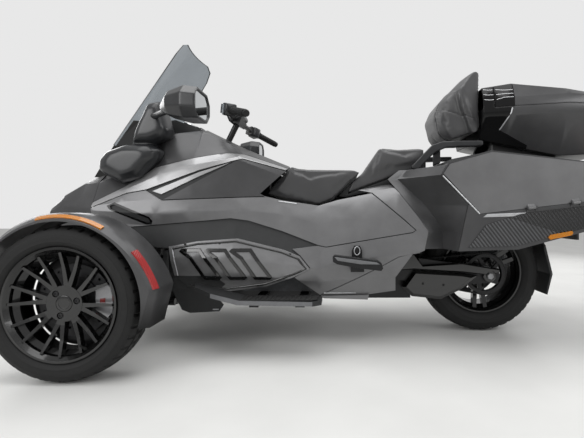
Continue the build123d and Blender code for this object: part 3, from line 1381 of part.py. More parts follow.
def build_body():
    nodes = {}
    for name, shape in side_panels():
        nodes.setdefault(name, []).extend(both(shape))
    nodes["vent_trims"] = [s for frame_part in vent_trims() for s in both(frame_part)]
    nodes["shoulder_panels"] += both(slot_blades())
    nodes["tank_cover"] = [tank_cover()]
    nodes["nose"] = [nose()]
    nodes["headlamps"] = both(headlamps())
    nodes["grille"] = [grille()]
    nodes["frunk_lid"] = [frunk_lid()]
    nodes["front_bin"] = [front_bin()]
    nodes["windshield"] = [windshield()]
    nodes["screen_cowl"] = [screen_cowl()]
    nodes["side_pods"] = both(pod(UPPER_POD, UPPER_POD_LEVELS)) + both(pod(LOWER_POD, LOWER_POD_LEVELS))
    nodes["fairing_sides"] += both(hood_surround()) + both(screen_deck(0.0, PANEL))
    nodes["side_liners"] += both(inner_arch())
    nodes["column_panels"] = both(column_panel())
    nodes["mirrors"] = both(mirror_housing())
    nodes["mirror_glass"] = both(mirror_glass())
    nodes["dash"] = [dash()]
    nodes["handlebar"] = [handlebar()]
    nodes["grips"] = grips()
    nodes["driver_seat"] = [driver_seat()]
    nodes["passenger_seat"] = [passenger_seat()]
    nodes["backrest"] = [backrest()]
    nodes["tail_body"] = [tail_body()]
    fixed, moving = door_hinges()
    nodes["side_cases"] = both(fused([side_case()] + fixed))
    door = fused([side_door()] + moving)
    nodes["case_door_left"] = [door]
    nodes["case_door_right"] = [mirrored(door)]
    nodes["case_trims"] = both(case_trims())
    fixed, moving = top_hinges()
    nodes["top_case_base"] = [fused([top_case_base()] + fixed)]
    nodes["top_case_lid"] = [fused([top_case_lid()] + moving)]
    nodes["grab_handles"] = both(grab_handles())
    nodes["floorboards"] = both(floorboard())
    nodes["passenger_pegs"] = both(passenger_peg())
    nodes["belt_cover"] = belt_cover()
    nodes["muffler"] = [muffler()]
    nodes["rear_fender"] = rear_fender() + tail_panel()
    nodes["tail_lamps"] = both(tail_lamps()) + both(side_markers())
    nodes["lower_side_panels"] += both(sill_strips())
    lower_arm = wishbone(LOWER_JOINT_Z, LOWER_JOINT_Z + 8, ARM_PIVOT_Y, TOWER_SPREAD, 12.0, -DAMPER_FOOT[1])
    upper_arm = wishbone(UPPER_JOINT_Z, UPPER_JOINT_Z + 4, ARM_PIVOT_Y, TOWER_SPREAD, 10.0)
    nodes["front_suspension"] = both(lower_arm) + both(upper_arm) + both(damper(DAMPER_FOOT, DAMPER_HEAD))
    return nodes


def build_all():
    nodes = build_body()
    wheel_y = {"left": -HALF_TRACK, "right": HALF_TRACK}
    front_tyre = tyre(FRONT_TYRE_RADIUS, FRONT_TYRE_WIDTH, FRONT_RIM_WIDTH)
    rim = front_rim()
    disc = brake_disc(DISC_OFFSET, DISC_OFFSET - DISC_THICKNESS / 2 - 8.0)
    for name, side in (("left", 1), ("right", -1)):
        for label, shape in (("tyre", front_tyre), ("rim", rim), ("disc", disc)):
            piece = put_wheel(shape, FRONT_AXLE_X, -HALF_TRACK, FRONT_TYRE_RADIUS)
            nodes[f"{label}_{name}"] = piece if side > 0 else mirrored(piece)
    nodes["tyre_rear"] = put_wheel(tyre(REAR_TYRE_RADIUS, REAR_TYRE_WIDTH, REAR_RIM_WIDTH),
                                   REAR_AXLE_X, 0, REAR_TYRE_RADIUS)
    nodes["rim_rear"] = put_wheel(rear_rim(), REAR_AXLE_X, 0, REAR_TYRE_RADIUS)
    nodes["rear_drive"] = [put_wheel(brake_disc(REAR_DISC_Y, REAR_HUB_FACE), REAR_AXLE_X, 0,
                                     REAR_TYRE_RADIUS),
                           put_wheel(rear_pulley(), REAR_AXLE_X, 0, REAR_TYRE_RADIUS)]
    nodes["drive_belt"] = [drive_belt()]
    upright = knuckle()
    cover = fender()
    lamps = [fender_lamp(), fender_reflectors()]
    for name, side in (("left", 1), ("right", -1)):
        for label, shape in (("knuckle", [upright]), ("fender", [cover]), ("fender_lamps", lamps)):
            nodes[f"{label}_{name}"] = shape if side > 0 else [mirrored(piece) for piece in shape]
    nodes["tie_rods"] = tie_rods()
    nodes["frame"] = frame()
    nodes["engine"] = engine()
    nodes["swingarm"] = swingarm()
    return nodes


def save(nodes):
    os.makedirs("parts", exist_ok=True)
    for name, shape in nodes.items():
        shapes = shape if isinstance(shape, list) else [shape]
        solids = [solid for piece in shapes for solid in piece.solids()]
        export_step(solids[0] if len(solids) == 1 else Compound(solids), f"parts/{name}.step")


save(build_all())
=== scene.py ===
# %% [markdown]
# # Dressing a touring motor trike
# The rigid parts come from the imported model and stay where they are. This script gives them
# paint, plastic, rubber and metal, and builds the soft and fine pieces around them.
# Every length is in metres in the model's own frame: +X to the rear, +Y to the rider's right, +Z up.

# %% Load the fixed frame
import bpy
import json
import math
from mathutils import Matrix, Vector

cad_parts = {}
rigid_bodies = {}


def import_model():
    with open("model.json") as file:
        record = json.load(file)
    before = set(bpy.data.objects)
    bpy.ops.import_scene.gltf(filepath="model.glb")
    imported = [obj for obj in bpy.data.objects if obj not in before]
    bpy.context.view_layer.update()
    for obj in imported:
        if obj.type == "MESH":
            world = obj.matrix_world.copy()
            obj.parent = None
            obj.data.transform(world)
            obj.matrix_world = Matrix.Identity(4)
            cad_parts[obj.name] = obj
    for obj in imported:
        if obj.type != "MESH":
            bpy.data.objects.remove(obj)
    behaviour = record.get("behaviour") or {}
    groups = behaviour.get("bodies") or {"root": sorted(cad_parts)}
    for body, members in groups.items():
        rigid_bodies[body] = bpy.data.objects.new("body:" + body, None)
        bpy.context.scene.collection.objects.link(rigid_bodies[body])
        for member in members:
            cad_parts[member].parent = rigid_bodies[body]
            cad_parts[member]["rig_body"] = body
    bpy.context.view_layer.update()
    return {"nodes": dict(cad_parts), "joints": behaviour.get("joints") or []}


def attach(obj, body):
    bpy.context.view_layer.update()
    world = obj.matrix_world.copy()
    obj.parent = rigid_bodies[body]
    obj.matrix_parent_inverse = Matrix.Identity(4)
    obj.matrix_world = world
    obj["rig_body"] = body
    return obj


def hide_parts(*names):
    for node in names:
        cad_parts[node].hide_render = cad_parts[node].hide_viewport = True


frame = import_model()
NODES = frame["nodes"]
# The joints that the wheels turn on give the wheels' centres
AXLES = {joint["child"]: Vector(joint["pos_m"]) for joint in frame["joints"]
         if joint["name"].startswith("roll_")}
print("carried-over parts", len(NODES), "wheels", sorted(AXLES))

# %% [markdown]
# ## Small helpers
# An operator acts on all that is selected, so each piece is selected alone before it is worked on.
# Colours are written as they look on a screen, so one function makes them linear.
# Each shader node is added by one helper, which sets its inputs by name.

# %% Select one piece
def deselect():
    """Leaves edit mode and selects nothing."""
    if bpy.context.object and bpy.context.object.mode != "OBJECT":
        bpy.ops.object.mode_set(mode="OBJECT")
    bpy.ops.object.select_all(action="DESELECT")


def alone(piece):
    """Selects one object and nothing else."""
    deselect()
    piece.select_set(True)
    bpy.context.view_layer.objects.active = piece


# %% Colour and node helpers
def linear(code):
    """Linear colour from a hex code such as 4f5052."""
    parts = [int(code[i:i + 2], 16) / 255 for i in (0, 2, 4)]
    return tuple(((c + 0.055) / 1.055) ** 2.4 if c > 0.04045 else c / 12.92 for c in parts) + (1.0,)


def add(tree, kind, settings=None, numbered=None, stops=None, **inputs):
    """Adds a shader node. Its inputs, by name or by number where two share a name, are plain
    values or other nodes' outputs; stops are a colour ramp's (position, hex code) pairs."""
    node = tree.nodes.new(kind)
    for name, value in (settings or {}).items():
        setattr(node, name, value)
    named = {name.replace("_", " "): value for name, value in inputs.items()}
    for key, value in {**(numbered or {}), **named}.items():
        if isinstance(value, bpy.types.NodeSocket):
            tree.links.new(value, node.inputs[key])
        else:
            node.inputs[key].default_value = value
    if stops:
        for element, (position, code) in zip(node.color_ramp.elements, stops):
            element.position = position
            element.color = linear(code)
    return node


def start(name):
    """New material, its empty tree, and the coordinates of the piece that wears it."""
    material = bpy.data.materials.new(name)
    material.use_nodes = True
    tree = material.node_tree
    tree.nodes.clear()
    return material, tree, add(tree, "ShaderNodeTexCoord").outputs["Object"]


def close(tree, shader):
    add(tree, "ShaderNodeOutputMaterial", Surface=shader.outputs[0])


# %% [markdown]
# ## Materials
# Edges of moulded and pressed parts are never sharp, so each hard material rounds them in its
# shading, by about a millimetre as a rule and by eight on the top case. Grain sizes are the real
# ones, except that paint flake is finer than a pixel and is drawn as coarse as it needs to show.

# %% Split a surface by planes
CRISP = 0.0004          # half the width of a crisp edge, in metres


def zone(tree, spot, planes):
    """1 where the place, its two sides folded together, lies beyond every plane. A plane is its
    normal, its reach in metres and, where its edge isn't crisp, half the width of that edge."""
    apart = add(tree, "ShaderNodeSeparateXYZ", Vector=spot).outputs
    out = add(tree, "ShaderNodeMath", {"operation": "ABSOLUTE"}, Value=apart["Y"]).outputs[0]
    folded = add(tree, "ShaderNodeCombineXYZ", X=apart["X"], Y=out, Z=apart["Z"]).outputs[0]
    mask = 1.0
    for normal, reach, *spread in planes:
        blur = spread[0] if spread else CRISP
        along = add(tree, "ShaderNodeVectorMath", {"operation": "DOT_PRODUCT"}, {0: folded, 1: normal})
        step = add(tree, "ShaderNodeMapRange", Value=along.outputs["Value"], From_Min=reach - blur,
                   From_Max=reach + blur).outputs["Result"]
        mask = add(tree, "ShaderNodeMath", {"operation": "MULTIPLY"}, {0: mask, 1: step}).outputs[0]
    return mask


def inside(corners):
    """Planes that close a convex outline of (x, z) corners in millimetres, anticlockwise from the left."""
    planes = []
    for (xa, za), (xb, zb) in zip(corners, corners[1:] + corners[:1]):
        normal = Vector((za - zb, 0, xb - xa)).normalized()
        planes.append((tuple(normal), normal.dot(Vector((xa, 0, za))) / 1000))
    return planes


# %% One recipe for every hard surface
EVEN = (0.35, 0.7)      # levels of the noise at which the dark and the light tone are pure
WAVE_PITCH = 314.0      # millimetres between the bands of a wave texture whose scale is 1


def surface(name, tones, rough=(0.35, 0.45), metal=0.0, mottle=40.0, grain=None, edge=0.0012, coat=0.0,
            specular=0.5, ribs=None, zones=(), spread=EVEN):
    """Hard surface: two tones and two roughnesses in a mottle, rounded edges, grain as (size,
    height) and ribs as (pitch, height, turn) in millimetres and degrees, with painted shade in
    the ribs' grooves; zones are (planes, hex code, roughness)."""
    material, tree, spot = start(name)
    cloud = add(tree, "ShaderNodeTexNoise", Vector=spot, Scale=mottle, Detail=4.0,
                Roughness=0.6).outputs["Fac"]
    colour = add(tree, "ShaderNodeValToRGB", stops=list(zip(spread, tones)), Fac=cloud).outputs["Color"]
    gloss = add(tree, "ShaderNodeMapRange", Value=cloud, To_Min=rough[0], To_Max=rough[1]).outputs["Result"]
    normal = add(tree, "ShaderNodeBevel", {"samples": 3}, Radius=edge).outputs["Normal"]
    if grain:
        size, height = grain
        texture = add(tree, "ShaderNodeTexNoise", Vector=spot, Scale=1000.0 / size, Detail=2.0)
        normal = add(tree, "ShaderNodeBump", Strength=0.6, Distance=height / 1000,
                     Height=texture.outputs["Fac"], Normal=normal).outputs["Normal"]
    if ribs:
        pitch, height, turn = ribs
        across = add(tree, "ShaderNodeMapping", Vector=spot, Rotation=(0, math.radians(turn), 0)).outputs[0]
        wave = add(tree, "ShaderNodeTexWave", {"bands_direction": "X"}, Vector=across,
                   Scale=WAVE_PITCH / pitch).outputs["Fac"]
        # The grooves between the ribs are darkened towards near black: painted shade
        colour = add(tree, "ShaderNodeMix", {"data_type": "RGBA"},
                     {0: wave, 6: linear("0c0c0d"), 7: colour}).outputs[2]
        normal = add(tree, "ShaderNodeBump", Strength=0.9, Distance=height / 1000, Height=wave,
                     Normal=normal).outputs["Normal"]
    for planes, code, gloss_there in zones:
        mask = zone(tree, spot, planes)
        colour = add(tree, "ShaderNodeMix", {"data_type": "RGBA"},
                     {0: mask, 6: colour, 7: linear(code)}).outputs[2]
        gloss = add(tree, "ShaderNodeMix", {"data_type": "FLOAT"},
                    {0: mask, 2: gloss, 3: gloss_there}).outputs[0]
    close(tree, add(tree, "ShaderNodeBsdfPrincipled", Base_Color=colour, Roughness=gloss, Metallic=metal,
                    Normal=normal, Coat_Weight=coat, Coat_Roughness=0.05, Specular_IOR_Level=specular))
    return material


# %% Satin metallic paints: 0.35 mm flake under a soft clear layer, almost even in colour
def satin_paint(name, tones, metal=0.5, edge=0.0012, zones=()):
    return surface(name, tones, (0.30, 0.37), metal, mottle=9.0, grain=(0.35, 0.01), edge=edge, zones=zones)


DARK_GREY = ("464647", "4d4d4e")
# A lighter copy of the same asphalt grey paint: its lighter tone is painted light, for the panels that show
# lit
LIT_GREY = ("6a6a6b", "727273")
asphalt_paint = satin_paint("asphalt_grey_satin_paint", DARK_GREY)
# The fender darkens to black at its lower rear end: painted shade
fender_grey_with_painted_shade = satin_paint("asphalt_grey_fender_with_painted_shade", DARK_GREY, zones=[
    ([((0, 0, -1), -0.255, 0.05), ((1, 0, 0), -0.93, 0.02)], "141415", 0.3)])
# The top case is gloss black at its front corner and along its foot, and so is its lid in front
case_paint = satin_paint("asphalt_grey_case_paint", DARK_GREY, 0.4, edge=0.008, zones=[
    ([((-0.892, 0, 0.4515), -0.2028)], "0c0c0d", 0.08),
    ([((-0.431, 0, -0.902), -1.2237), ((-1, 0, 0), -0.880)], "0c0c0d", 0.12)])
lid_paint = satin_paint("asphalt_grey_lid_paint", DARK_GREY, 0.4, edge=0.008, zones=[
    ([((-1, 0, 0), -0.789)], "0c0c0d", 0.12)])
# Side panels, lower panels and case doors in the lit copy, whose lighter tone is painted light
lit_grey_paint = satin_paint("asphalt_grey_lit_copy", LIT_GREY)
# The mid panels in the lit copy, whose lighter tone is painted light, with a gloss black louvre wedge
LOUVRE_WEDGE = [(-1066, 640), (-1052, 622), (-892, 556), (-868, 556), (-862, 572), (-876, 590), (-1030, 655)]
shoulder_lit_grey = satin_paint("asphalt_grey_shoulder_lit_copy", LIT_GREY, zones=[
    (inside(LOUVRE_WEDGE), "0a0a0b", 0.1)])
# The silver on the shoulder strips is a painted highlight along the shoulders
painted_highlight_silver = satin_paint("silver_grey_painted_highlight", ("99999a", "a4a4a5"), 0.6)
vent_paint = satin_paint("vent_grey_satin_paint", ("747475", "7e7e7f"), edge=0.002)

# %% Plastics: gloss lacquered, grained in the mould, or smooth as a cover
gloss_plastic = surface("gloss_black_plastic", ("080808", "0c0c0c"), (0.05, 0.1), mottle=14.0, coat=0.6,
                        spread=(0.4, 0.7))
grained_plastic = surface("grained_black_plastic", ("191a1b", "212223"), (0.5, 0.62), mottle=30.0,
                          grain=(1.2, 0.12))
# Slanting ribs 13 mm apart, their grooves darkened as painted shade, with a plain dark band over them
ribbed_plastic = surface("ribbed_black_plastic", ("3a3b3d", "47484a"), (0.34, 0.46), mottle=30.0,
                         ribs=(13.0, 3.0, 38.0), zones=[([((0.285, 0, 0.9585), 0.756)], "101011", 0.25)])
satin_black = surface("satin_black_cover", ("1d1e20", "27282a"), (0.26, 0.34), mottle=12.0,
                      grain=(0.6, 0.01))
side_plastic = surface("grey_moulded_plastic", ("5e5f61", "68696b"), (0.4, 0.5), mottle=30.0,
                       grain=(1.0, 0.08))
dark_edge = surface("polished_screen_edge", ("1c1e20", "25282a"), (0.2, 0.3), mottle=30.0)

# %% Metals and enamels
black_steel = surface("black_coated_steel", ("131314", "1b1b1d"), (0.3, 0.42), 0.3, mottle=25.0,
                      grain=(0.6, 0.03))
wheel_lacquer = surface("black_wheel_lacquer", ("0a0a0a", "101010"), (0.16, 0.24), 0.2, mottle=18.0,
                        coat=0.5, edge=0.0016)
cast_alloy = surface("cast_alloy", ("3c3d3f", "4a4b4d"), (0.45, 0.6), 0.8, mottle=35.0, grain=(1.5, 0.12))
chrome = surface("bright_chrome", ("c9cacc", "d4d5d7"), (0.05, 0.1), 1.0, mottle=10.0, edge=0.0006)
steel = surface("brushed_steel", ("8b8c8e", "9a9b9d"), (0.25, 0.38), 1.0, mottle=60.0,
                grain=(0.5, 0.01), edge=0.0006)
disc_steel = surface("ground_disc_steel", ("3a3a3b", "464647"), (0.42, 0.52), 0.8, mottle=60.0,
                     grain=(0.5, 0.01), edge=0.0006)
caliper_alloy = surface("machined_caliper_alloy", ("8e8e90", "9c9c9e"), (0.35, 0.45), 0.9, mottle=35.0,
                        grain=(1.0, 0.05))
red_enamel = surface("red_enamel", ("74110e", "801411"), (0.25, 0.35), mottle=20.0, coat=0.3, edge=0.0006)
badge_silver = surface("badge_silver_film", ("b9babc", "c4c5c7"), (0.25, 0.32), 0.7, mottle=20.0,
                       edge=0.0004)
mirror_silver = surface("silvered_mirror", ("d9dcde", "dfe2e4"), (0.01, 0.03), 1.0, mottle=5.0,
                        edge=0.0004, spread=(0.4, 0.6))

# %% Rubbers: dull, with a fine grain
def rubber(name, tones, rough=(0.6, 0.75), grain=(0.8, 0.08), spread=EVEN):
    return surface(name, tones, rough, mottle=45.0, grain=grain, specular=0.35, spread=spread)


belt_rubber = rubber("belt_rubber", ("141414", "1c1c1c"))
grip_rubber = rubber("grip_rubber", ("151515", "1e1e1e"))
tyre_rubber = rubber("tyre_rubber", ("121212", "1c1c1c"), (0.62, 0.8), grain=(1.4, 0.1),
                     spread=(0.3, 0.75))

# %% Leathercloth: coated seat cloth with a 2 mm pebble grain and finer creases
seat_cloth, tree, spot = start("seat_leathercloth")
cells = add(tree, "ShaderNodeTexVoronoi", {"feature": "SMOOTH_F1"}, Vector=spot, Scale=520.0)
creases = add(tree, "ShaderNodeTexNoise", Vector=spot, Scale=900.0, Detail=3.0).outputs["Fac"]
wear = add(tree, "ShaderNodeTexNoise", Vector=spot, Scale=6.0, Detail=3.0).outputs["Fac"]
pebble = add(tree, "ShaderNodeBump", Strength=0.55, Distance=0.00035,
             Height=cells.outputs["Distance"]).outputs[0]
wrinkled = add(tree, "ShaderNodeBump", Strength=0.3, Distance=0.00015, Height=creases,
               Normal=pebble).outputs[0]
dye = add(tree, "ShaderNodeValToRGB", stops=list(zip(EVEN, ("383839", "434344"))), Fac=wear)
gloss = add(tree, "ShaderNodeMapRange", Value=wear, To_Min=0.34, To_Max=0.46).outputs["Result"]
close(tree, add(tree, "ShaderNodeBsdfPrincipled", Base_Color=dye.outputs["Color"], Roughness=gloss,
                Normal=wrinkled, Sheen_Weight=0.15, Sheen_Roughness=0.4))

# %% Lenses and clear sheets
def lens(name, code):
    """Tinted moulded lens with fine vertical flutes, 5 mm apart."""
    material, tree, spot = start(name)
    haze = add(tree, "ShaderNodeTexNoise", Vector=spot, Scale=80.0).outputs["Fac"]
    gloss = add(tree, "ShaderNodeMapRange", Value=haze, To_Min=0.08, To_Max=0.13).outputs["Result"]
    rounded = add(tree, "ShaderNodeBevel", {"samples": 3}, Radius=0.0008).outputs["Normal"]
    flutes = add(tree, "ShaderNodeTexWave", {"bands_direction": "X"}, Vector=spot, Scale=60.0).outputs["Fac"]
    normal = add(tree, "ShaderNodeBump", Strength=0.4, Distance=0.0006, Height=flutes,
                 Normal=rounded).outputs[0]
    close(tree, add(tree, "ShaderNodeBsdfPrincipled", Base_Color=linear(code), Roughness=gloss,
                    Normal=normal, Transmission_Weight=0.45, IOR=1.49, Coat_Weight=0.5,
                    Emission_Color=linear(code), Emission_Strength=0.04))
    return material


def clear(name, tint, see_through):
    """Thin clear sheet: mostly lets light through, with a light smoke and sharp reflections."""
    material, tree, spot = start(name)
    haze = add(tree, "ShaderNodeTexNoise", Vector=spot, Scale=12.0).outputs["Fac"]
    gloss = add(tree, "ShaderNodeMapRange", Value=haze, To_Min=0.02, To_Max=0.05).outputs["Result"]
    body = add(tree, "ShaderNodeBsdfPrincipled", Base_Color=linear(tint), Roughness=gloss,
               Specular_IOR_Level=0.6)
    window = add(tree, "ShaderNodeBsdfTransparent", Color=linear("dfe3e6"))
    share = add(tree, "ShaderNodeMapRange", Value=haze, To_Min=see_through - 0.03,
                To_Max=see_through + 0.03).outputs["Result"]
    close(tree, add(tree, "ShaderNodeMixShader", None, {0: share, 1: body.outputs[0], 2: window.outputs[0]}))
    return material


amber_lens = lens("amber_lens", "d4870f")
red_lens = lens("red_lens", "b01616")
screen_sheet = clear("smoked_clear_polycarbonate", "3a3d40", 0.72)
lamp_glass = clear("lamp_clear_polycarbonate", "aab0b4", 0.7)
print("materials", len(bpy.data.materials))

# %% [markdown]
# ## Finishing the carried-over parts
# Each rigid node keeps its shape and place. It gets its real material, and its curved faces
# are shaded smooth while folds above 26 degrees stay crisp.

# %% Assign materials to the rigid nodes
FINISH = {
    asphalt_paint: ["fairing_sides", "frunk_lid", "nose", "tank_cover", "side_cases", "column_panels"],
    fender_grey_with_painted_shade: ["fender_left", "fender_right"],
    case_paint: ["top_case_base"],
    lid_paint: ["top_case_lid"],
    vent_paint: ["vent_panels"],
    shoulder_lit_grey: ["mid_panels"],
    lit_grey_paint: ["case_door_left", "case_door_right", "lower_side_panels"],
    ribbed_plastic: ["case_trims"],
    painted_highlight_silver: ["shoulder_panels"],
    gloss_plastic: ["belt_cover", "screen_cowl", "vent_trims"],
    satin_black: ["side_pods", "mirrors"],
    grained_plastic: ["dash", "floorboards", "front_bin", "grab_handles", "grille", "rear_fender",
                      "side_liners", "tail_body"],
    black_steel: ["frame", "front_suspension", "handlebar", "knuckle_left", "knuckle_right", "passenger_pegs",
                  "rear_drive", "swingarm"],
    wheel_lacquer: ["rim_left", "rim_rear", "rim_right"],
    cast_alloy: ["engine"],
    disc_steel: ["disc_left", "disc_right"],
    steel: ["muffler", "tie_rods"],
    belt_rubber: ["drive_belt"],
    grip_rubber: ["grips"],
    tyre_rubber: ["tyre_left", "tyre_rear", "tyre_right"],
    seat_cloth: ["backrest", "driver_seat", "passenger_seat"],
    amber_lens: ["fender_lamps_left", "fender_lamps_right"],
    red_lens: ["tail_lamps"],
    lamp_glass: ["headlamps"],
    screen_sheet: ["windshield"],
    mirror_silver: ["mirror_glass"],
}
for material, names in FINISH.items():
    for name in names:
        alone(NODES[name])
        NODES[name].data.materials.clear()
        NODES[name].data.materials.append(material)
        bpy.ops.object.shade_smooth_by_angle(angle=math.radians(26))
print("finished parts", sum(len(names) for names in FINISH.values()))

# %% [markdown]
# ## Modelling helpers
# Every new piece starts from a primitive and is shaped in edit mode, as by hand. At the end its
# place goes into its mesh, so each object sits at the origin like the carried-over parts, and it
# rides on the body that really carries it.

# %% Finish a piece, and mirror it
def dress(piece, name, material, body, angle=32):
    """Bakes the place into the mesh, gives a finish and fixes the piece to its body."""
    alone(piece)
    piece.name = name
    bpy.ops.object.transform_apply()
    piece.data.materials.clear()
    piece.data.materials.append(material)
    bpy.ops.object.shade_smooth_by_angle(angle=math.radians(angle))
    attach(piece, body)
    print(name, "triangles", sum(len(face.vertices) - 2 for face in piece.data.polygons))


def duplicate(piece, name):
    """Copy with a mesh of its own, carried by nothing."""
    copy = piece.copy()
    copy.data = piece.data.copy()
    bpy.context.scene.collection.objects.link(copy)
    copy.parent = None
    copy.name = name
    return copy


def open_up(piece):
    """Opens a piece in edit mode with all of it selected."""
    alone(piece)
    bpy.ops.object.mode_set(mode="EDIT")
    bpy.ops.mesh.select_all(action="SELECT")


def pair(left, name, material, bodies=("chassis", "chassis"), angle=32):
    """Dresses a left-hand piece and makes its right-hand twin, whose faces are turned outwards again."""
    dress(left, name + "_left", material, bodies[0], angle)
    right = duplicate(left, name + "_right")
    alone(right)
    right.scale = (1, -1, 1)
    bpy.ops.object.transform_apply()
    open_up(right)
    bpy.ops.mesh.normals_make_consistent(inside=False)
    bpy.ops.object.mode_set(mode="OBJECT")
    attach(right, bodies[1])


def modify(piece, kind, **settings):
    """Gives a piece a modifier with its settings, and applies it."""
    modifier = piece.modifiers.new(kind.lower(), kind)
    for name, value in settings.items():
        setattr(modifier, name, value)
    alone(piece)
    bpy.ops.object.modifier_apply(modifier=modifier.name)


def joined(pieces):
    """One mesh from several that have just been made."""
    alone(pieces[0])
    for piece in pieces[1:]:
        piece.select_set(True)
    bpy.ops.object.join()
    return bpy.context.object


# %% Pick faces to work on
def pick_faces(piece, chosen):
    """Opens a piece in edit mode with only its chosen faces selected."""
    alone(piece)
    bpy.context.tool_settings.mesh_select_mode = (False, False, True)
    bpy.ops.object.mode_set(mode="EDIT")
    bpy.ops.mesh.select_all(action="DESELECT")
    bpy.ops.object.mode_set(mode="OBJECT")
    for face in piece.data.polygons:
        face.select = chosen(face)
    bpy.ops.object.mode_set(mode="EDIT")


def put_down():
    """Leaves edit mode and goes back to picking by vertices."""
    bpy.ops.object.mode_set(mode="OBJECT")
    bpy.context.tool_settings.mesh_select_mode = (True, False, False)


# %% Draw a line, turn it on a lathe, or cut it as a plate
def drawn(points):
    """Line of edges drawn by extruding one vertex from point to point; stays in edit mode."""
    deselect()
    bpy.ops.mesh.primitive_plane_add(size=0.01, location=points[0])
    bpy.ops.object.transform_apply()
    bpy.ops.object.mode_set(mode="EDIT")
    bpy.ops.mesh.merge(type="CENTER")
    for here, there in zip(points, points[1:]):
        step = Vector(there) - Vector(here)
        bpy.ops.mesh.extrude_vertices_move(TRANSFORM_OT_translate={"value": step})
    return bpy.context.object


def turned(centre, axis, profile, steps):
    """Lathe-turned solid: profile is (distance along the axis, radius) from a centre, in metres."""
    axis = Vector(axis).normalized()
    out = axis.orthogonal().normalized()
    piece = drawn([Vector(centre) + axis * along + out * radius for along, radius in profile])
    bpy.ops.mesh.select_all(action="SELECT")
    bpy.ops.mesh.spin(steps=steps, angle=math.tau, center=centre, axis=axis, use_auto_merge=True)
    bpy.ops.mesh.select_all(action="SELECT")
    bpy.ops.mesh.remove_doubles(threshold=0.00002)
    bpy.ops.mesh.normals_make_consistent(inside=False)
    bpy.ops.object.mode_set(mode="OBJECT")
    return piece


def plate(points, thickness, bevel=0.0008):
    """Flat plate: a closed line filled, pushed out by a thickness vector, its edges rounded."""
    piece = drawn(points)
    bpy.ops.mesh.select_all(action="SELECT")
    bpy.ops.mesh.remove_doubles(threshold=0.00001)
    bpy.ops.mesh.edge_face_add()
    bpy.ops.mesh.extrude_region_move(TRANSFORM_OT_translate={"value": thickness})
    bpy.ops.mesh.select_all(action="SELECT")
    bpy.ops.mesh.normals_make_consistent(inside=False)
    bpy.ops.object.mode_set(mode="OBJECT")
    modify(piece, "BEVEL", width=bevel, segments=2, limit_method="ANGLE")
    return piece


def block(foot, along, up, length, width, height, bevel):
    """Rounded block that stands on a foot point: a plate pushed up by its height."""
    across = up.cross(along).normalized()
    square = ((-1, -1), (1, -1), (1, 1), (-1, 1), (-1, -1))
    corners = [foot + along * u * length / 2 + across * v * width / 2 for u, v in square]
    return plate(corners, up * height, bevel)


def tube(points, radius):
    """Round bead or wire along a line of points, closed at both ends."""
    piece = drawn(points)
    bpy.ops.object.mode_set(mode="OBJECT")
    alone(piece)
    bpy.ops.object.convert(target="CURVE")
    piece = bpy.context.object
    piece.data.bevel_depth = radius
    piece.data.bevel_resolution = 3
    piece.data.use_fill_caps = True
    bpy.ops.object.convert(target="MESH")
    return bpy.context.object


# %% Find a point on the bodywork
FAR_LEFT = -1.2
BEAD_LIFT = 0.0006
SEAT_SPACING = 0.03


def seat(node, x, z, lift=0.0):
    """Point and normal where a line along Y first meets a carried-over part, seen from the left."""
    hit, spot, normal, _ = NODES[node].ray_cast(Vector((x, FAR_LEFT, z)), Vector((0, 1, 0)))
    if not hit:
        raise ValueError(f"{node} is missed at {x}, {z}")
    return spot + normal * lift, normal


def along_body(node, corners, lift):
    """Line over the bodywork through (x, z) corners, seated point by point."""
    spots = []
    for (xa, za), (xb, zb) in zip(corners, corners[1:]):
        steps = max(1, round(math.hypot(xb - xa, zb - za) / SEAT_SPACING))
        for i in range(steps):
            spots.append((xa + (xb - xa) * i / steps, za + (zb - za) * i / steps))
    spots.append(corners[-1])
    return [seat(node, x, z, lift)[0] for x, z in spots]


def side_line(outline, y):
    """Closed line in a side plane from (x, z) corners in millimetres."""
    return [(x / 1000, y, z / 1000) for x, z in outline + outline[:1]]


# %% [markdown]
# ## Tyres with tread
# A radial tyre is a surface of revolution: a fat sidewall, grooves round the crown and short
# cross slots in the shoulders. So one half of its section is drawn, mirrored, spun about the
# axle, and the slots are then sunk into the rubber by inset.

# %% Tyre sections in millimetres: distance from the middle of the tread, radius
FRONT_SECTION = [
    (0, 274.5), (3.2, 274.6), (4.4, 280.8), (28.6, 279.2), (29.8, 273.0), (36.2, 272.2), (37.4, 278.0),
    (52, 275.4), (60, 273.6), (66, 271.4), (70.6, 267.4), (74.2, 262.0), (78.0, 255.0), (80.4, 249.8),
    (81.8, 248.8), (82.4, 243.0), (82.3, 236.0), (80.6, 226.2), (80.9, 225.0), (77.0, 217.6),
    (72.4, 212.2), (66.6, 208.0), (63.4, 206.6), (63.0, 192.0),
]
REAR_SECTION = [
    (0, 302.8), (11, 302.7), (12.2, 296.0), (19, 295.6), (20.2, 302.3), (43.5, 300.7), (44.7, 294.0),
    (52.3, 293.2), (53.5, 299.6), (74, 296.7), (84, 294.6), (91, 291.4), (96.5, 286.4), (101.5, 279.0),
    (106, 270.0), (109.4, 262.0), (111.0, 258.8), (111.8, 257.6), (112.4, 248.0), (110.6, 237.0),
    (110.9, 235.8), (105.8, 225.6), (99.8, 216.6), (93.4, 209.6), (88.9, 206.6), (88.4, 192.0),
]

# %% Slotted tyres
TYRE_STEPS = 120
SLOT_EVERY = 3
# Rows of slots: from, to and shift, in millimetres across the tread and in steps round it
FRONT_ROWS = [(38, 70, 0), (-70, -38, 0), (5, 28, 1), (-28, -5, 2)]
REAR_ROWS = [(54, 95, 0), (-95, -54, 0), (21, 43, 1), (-43, -21, 2)]


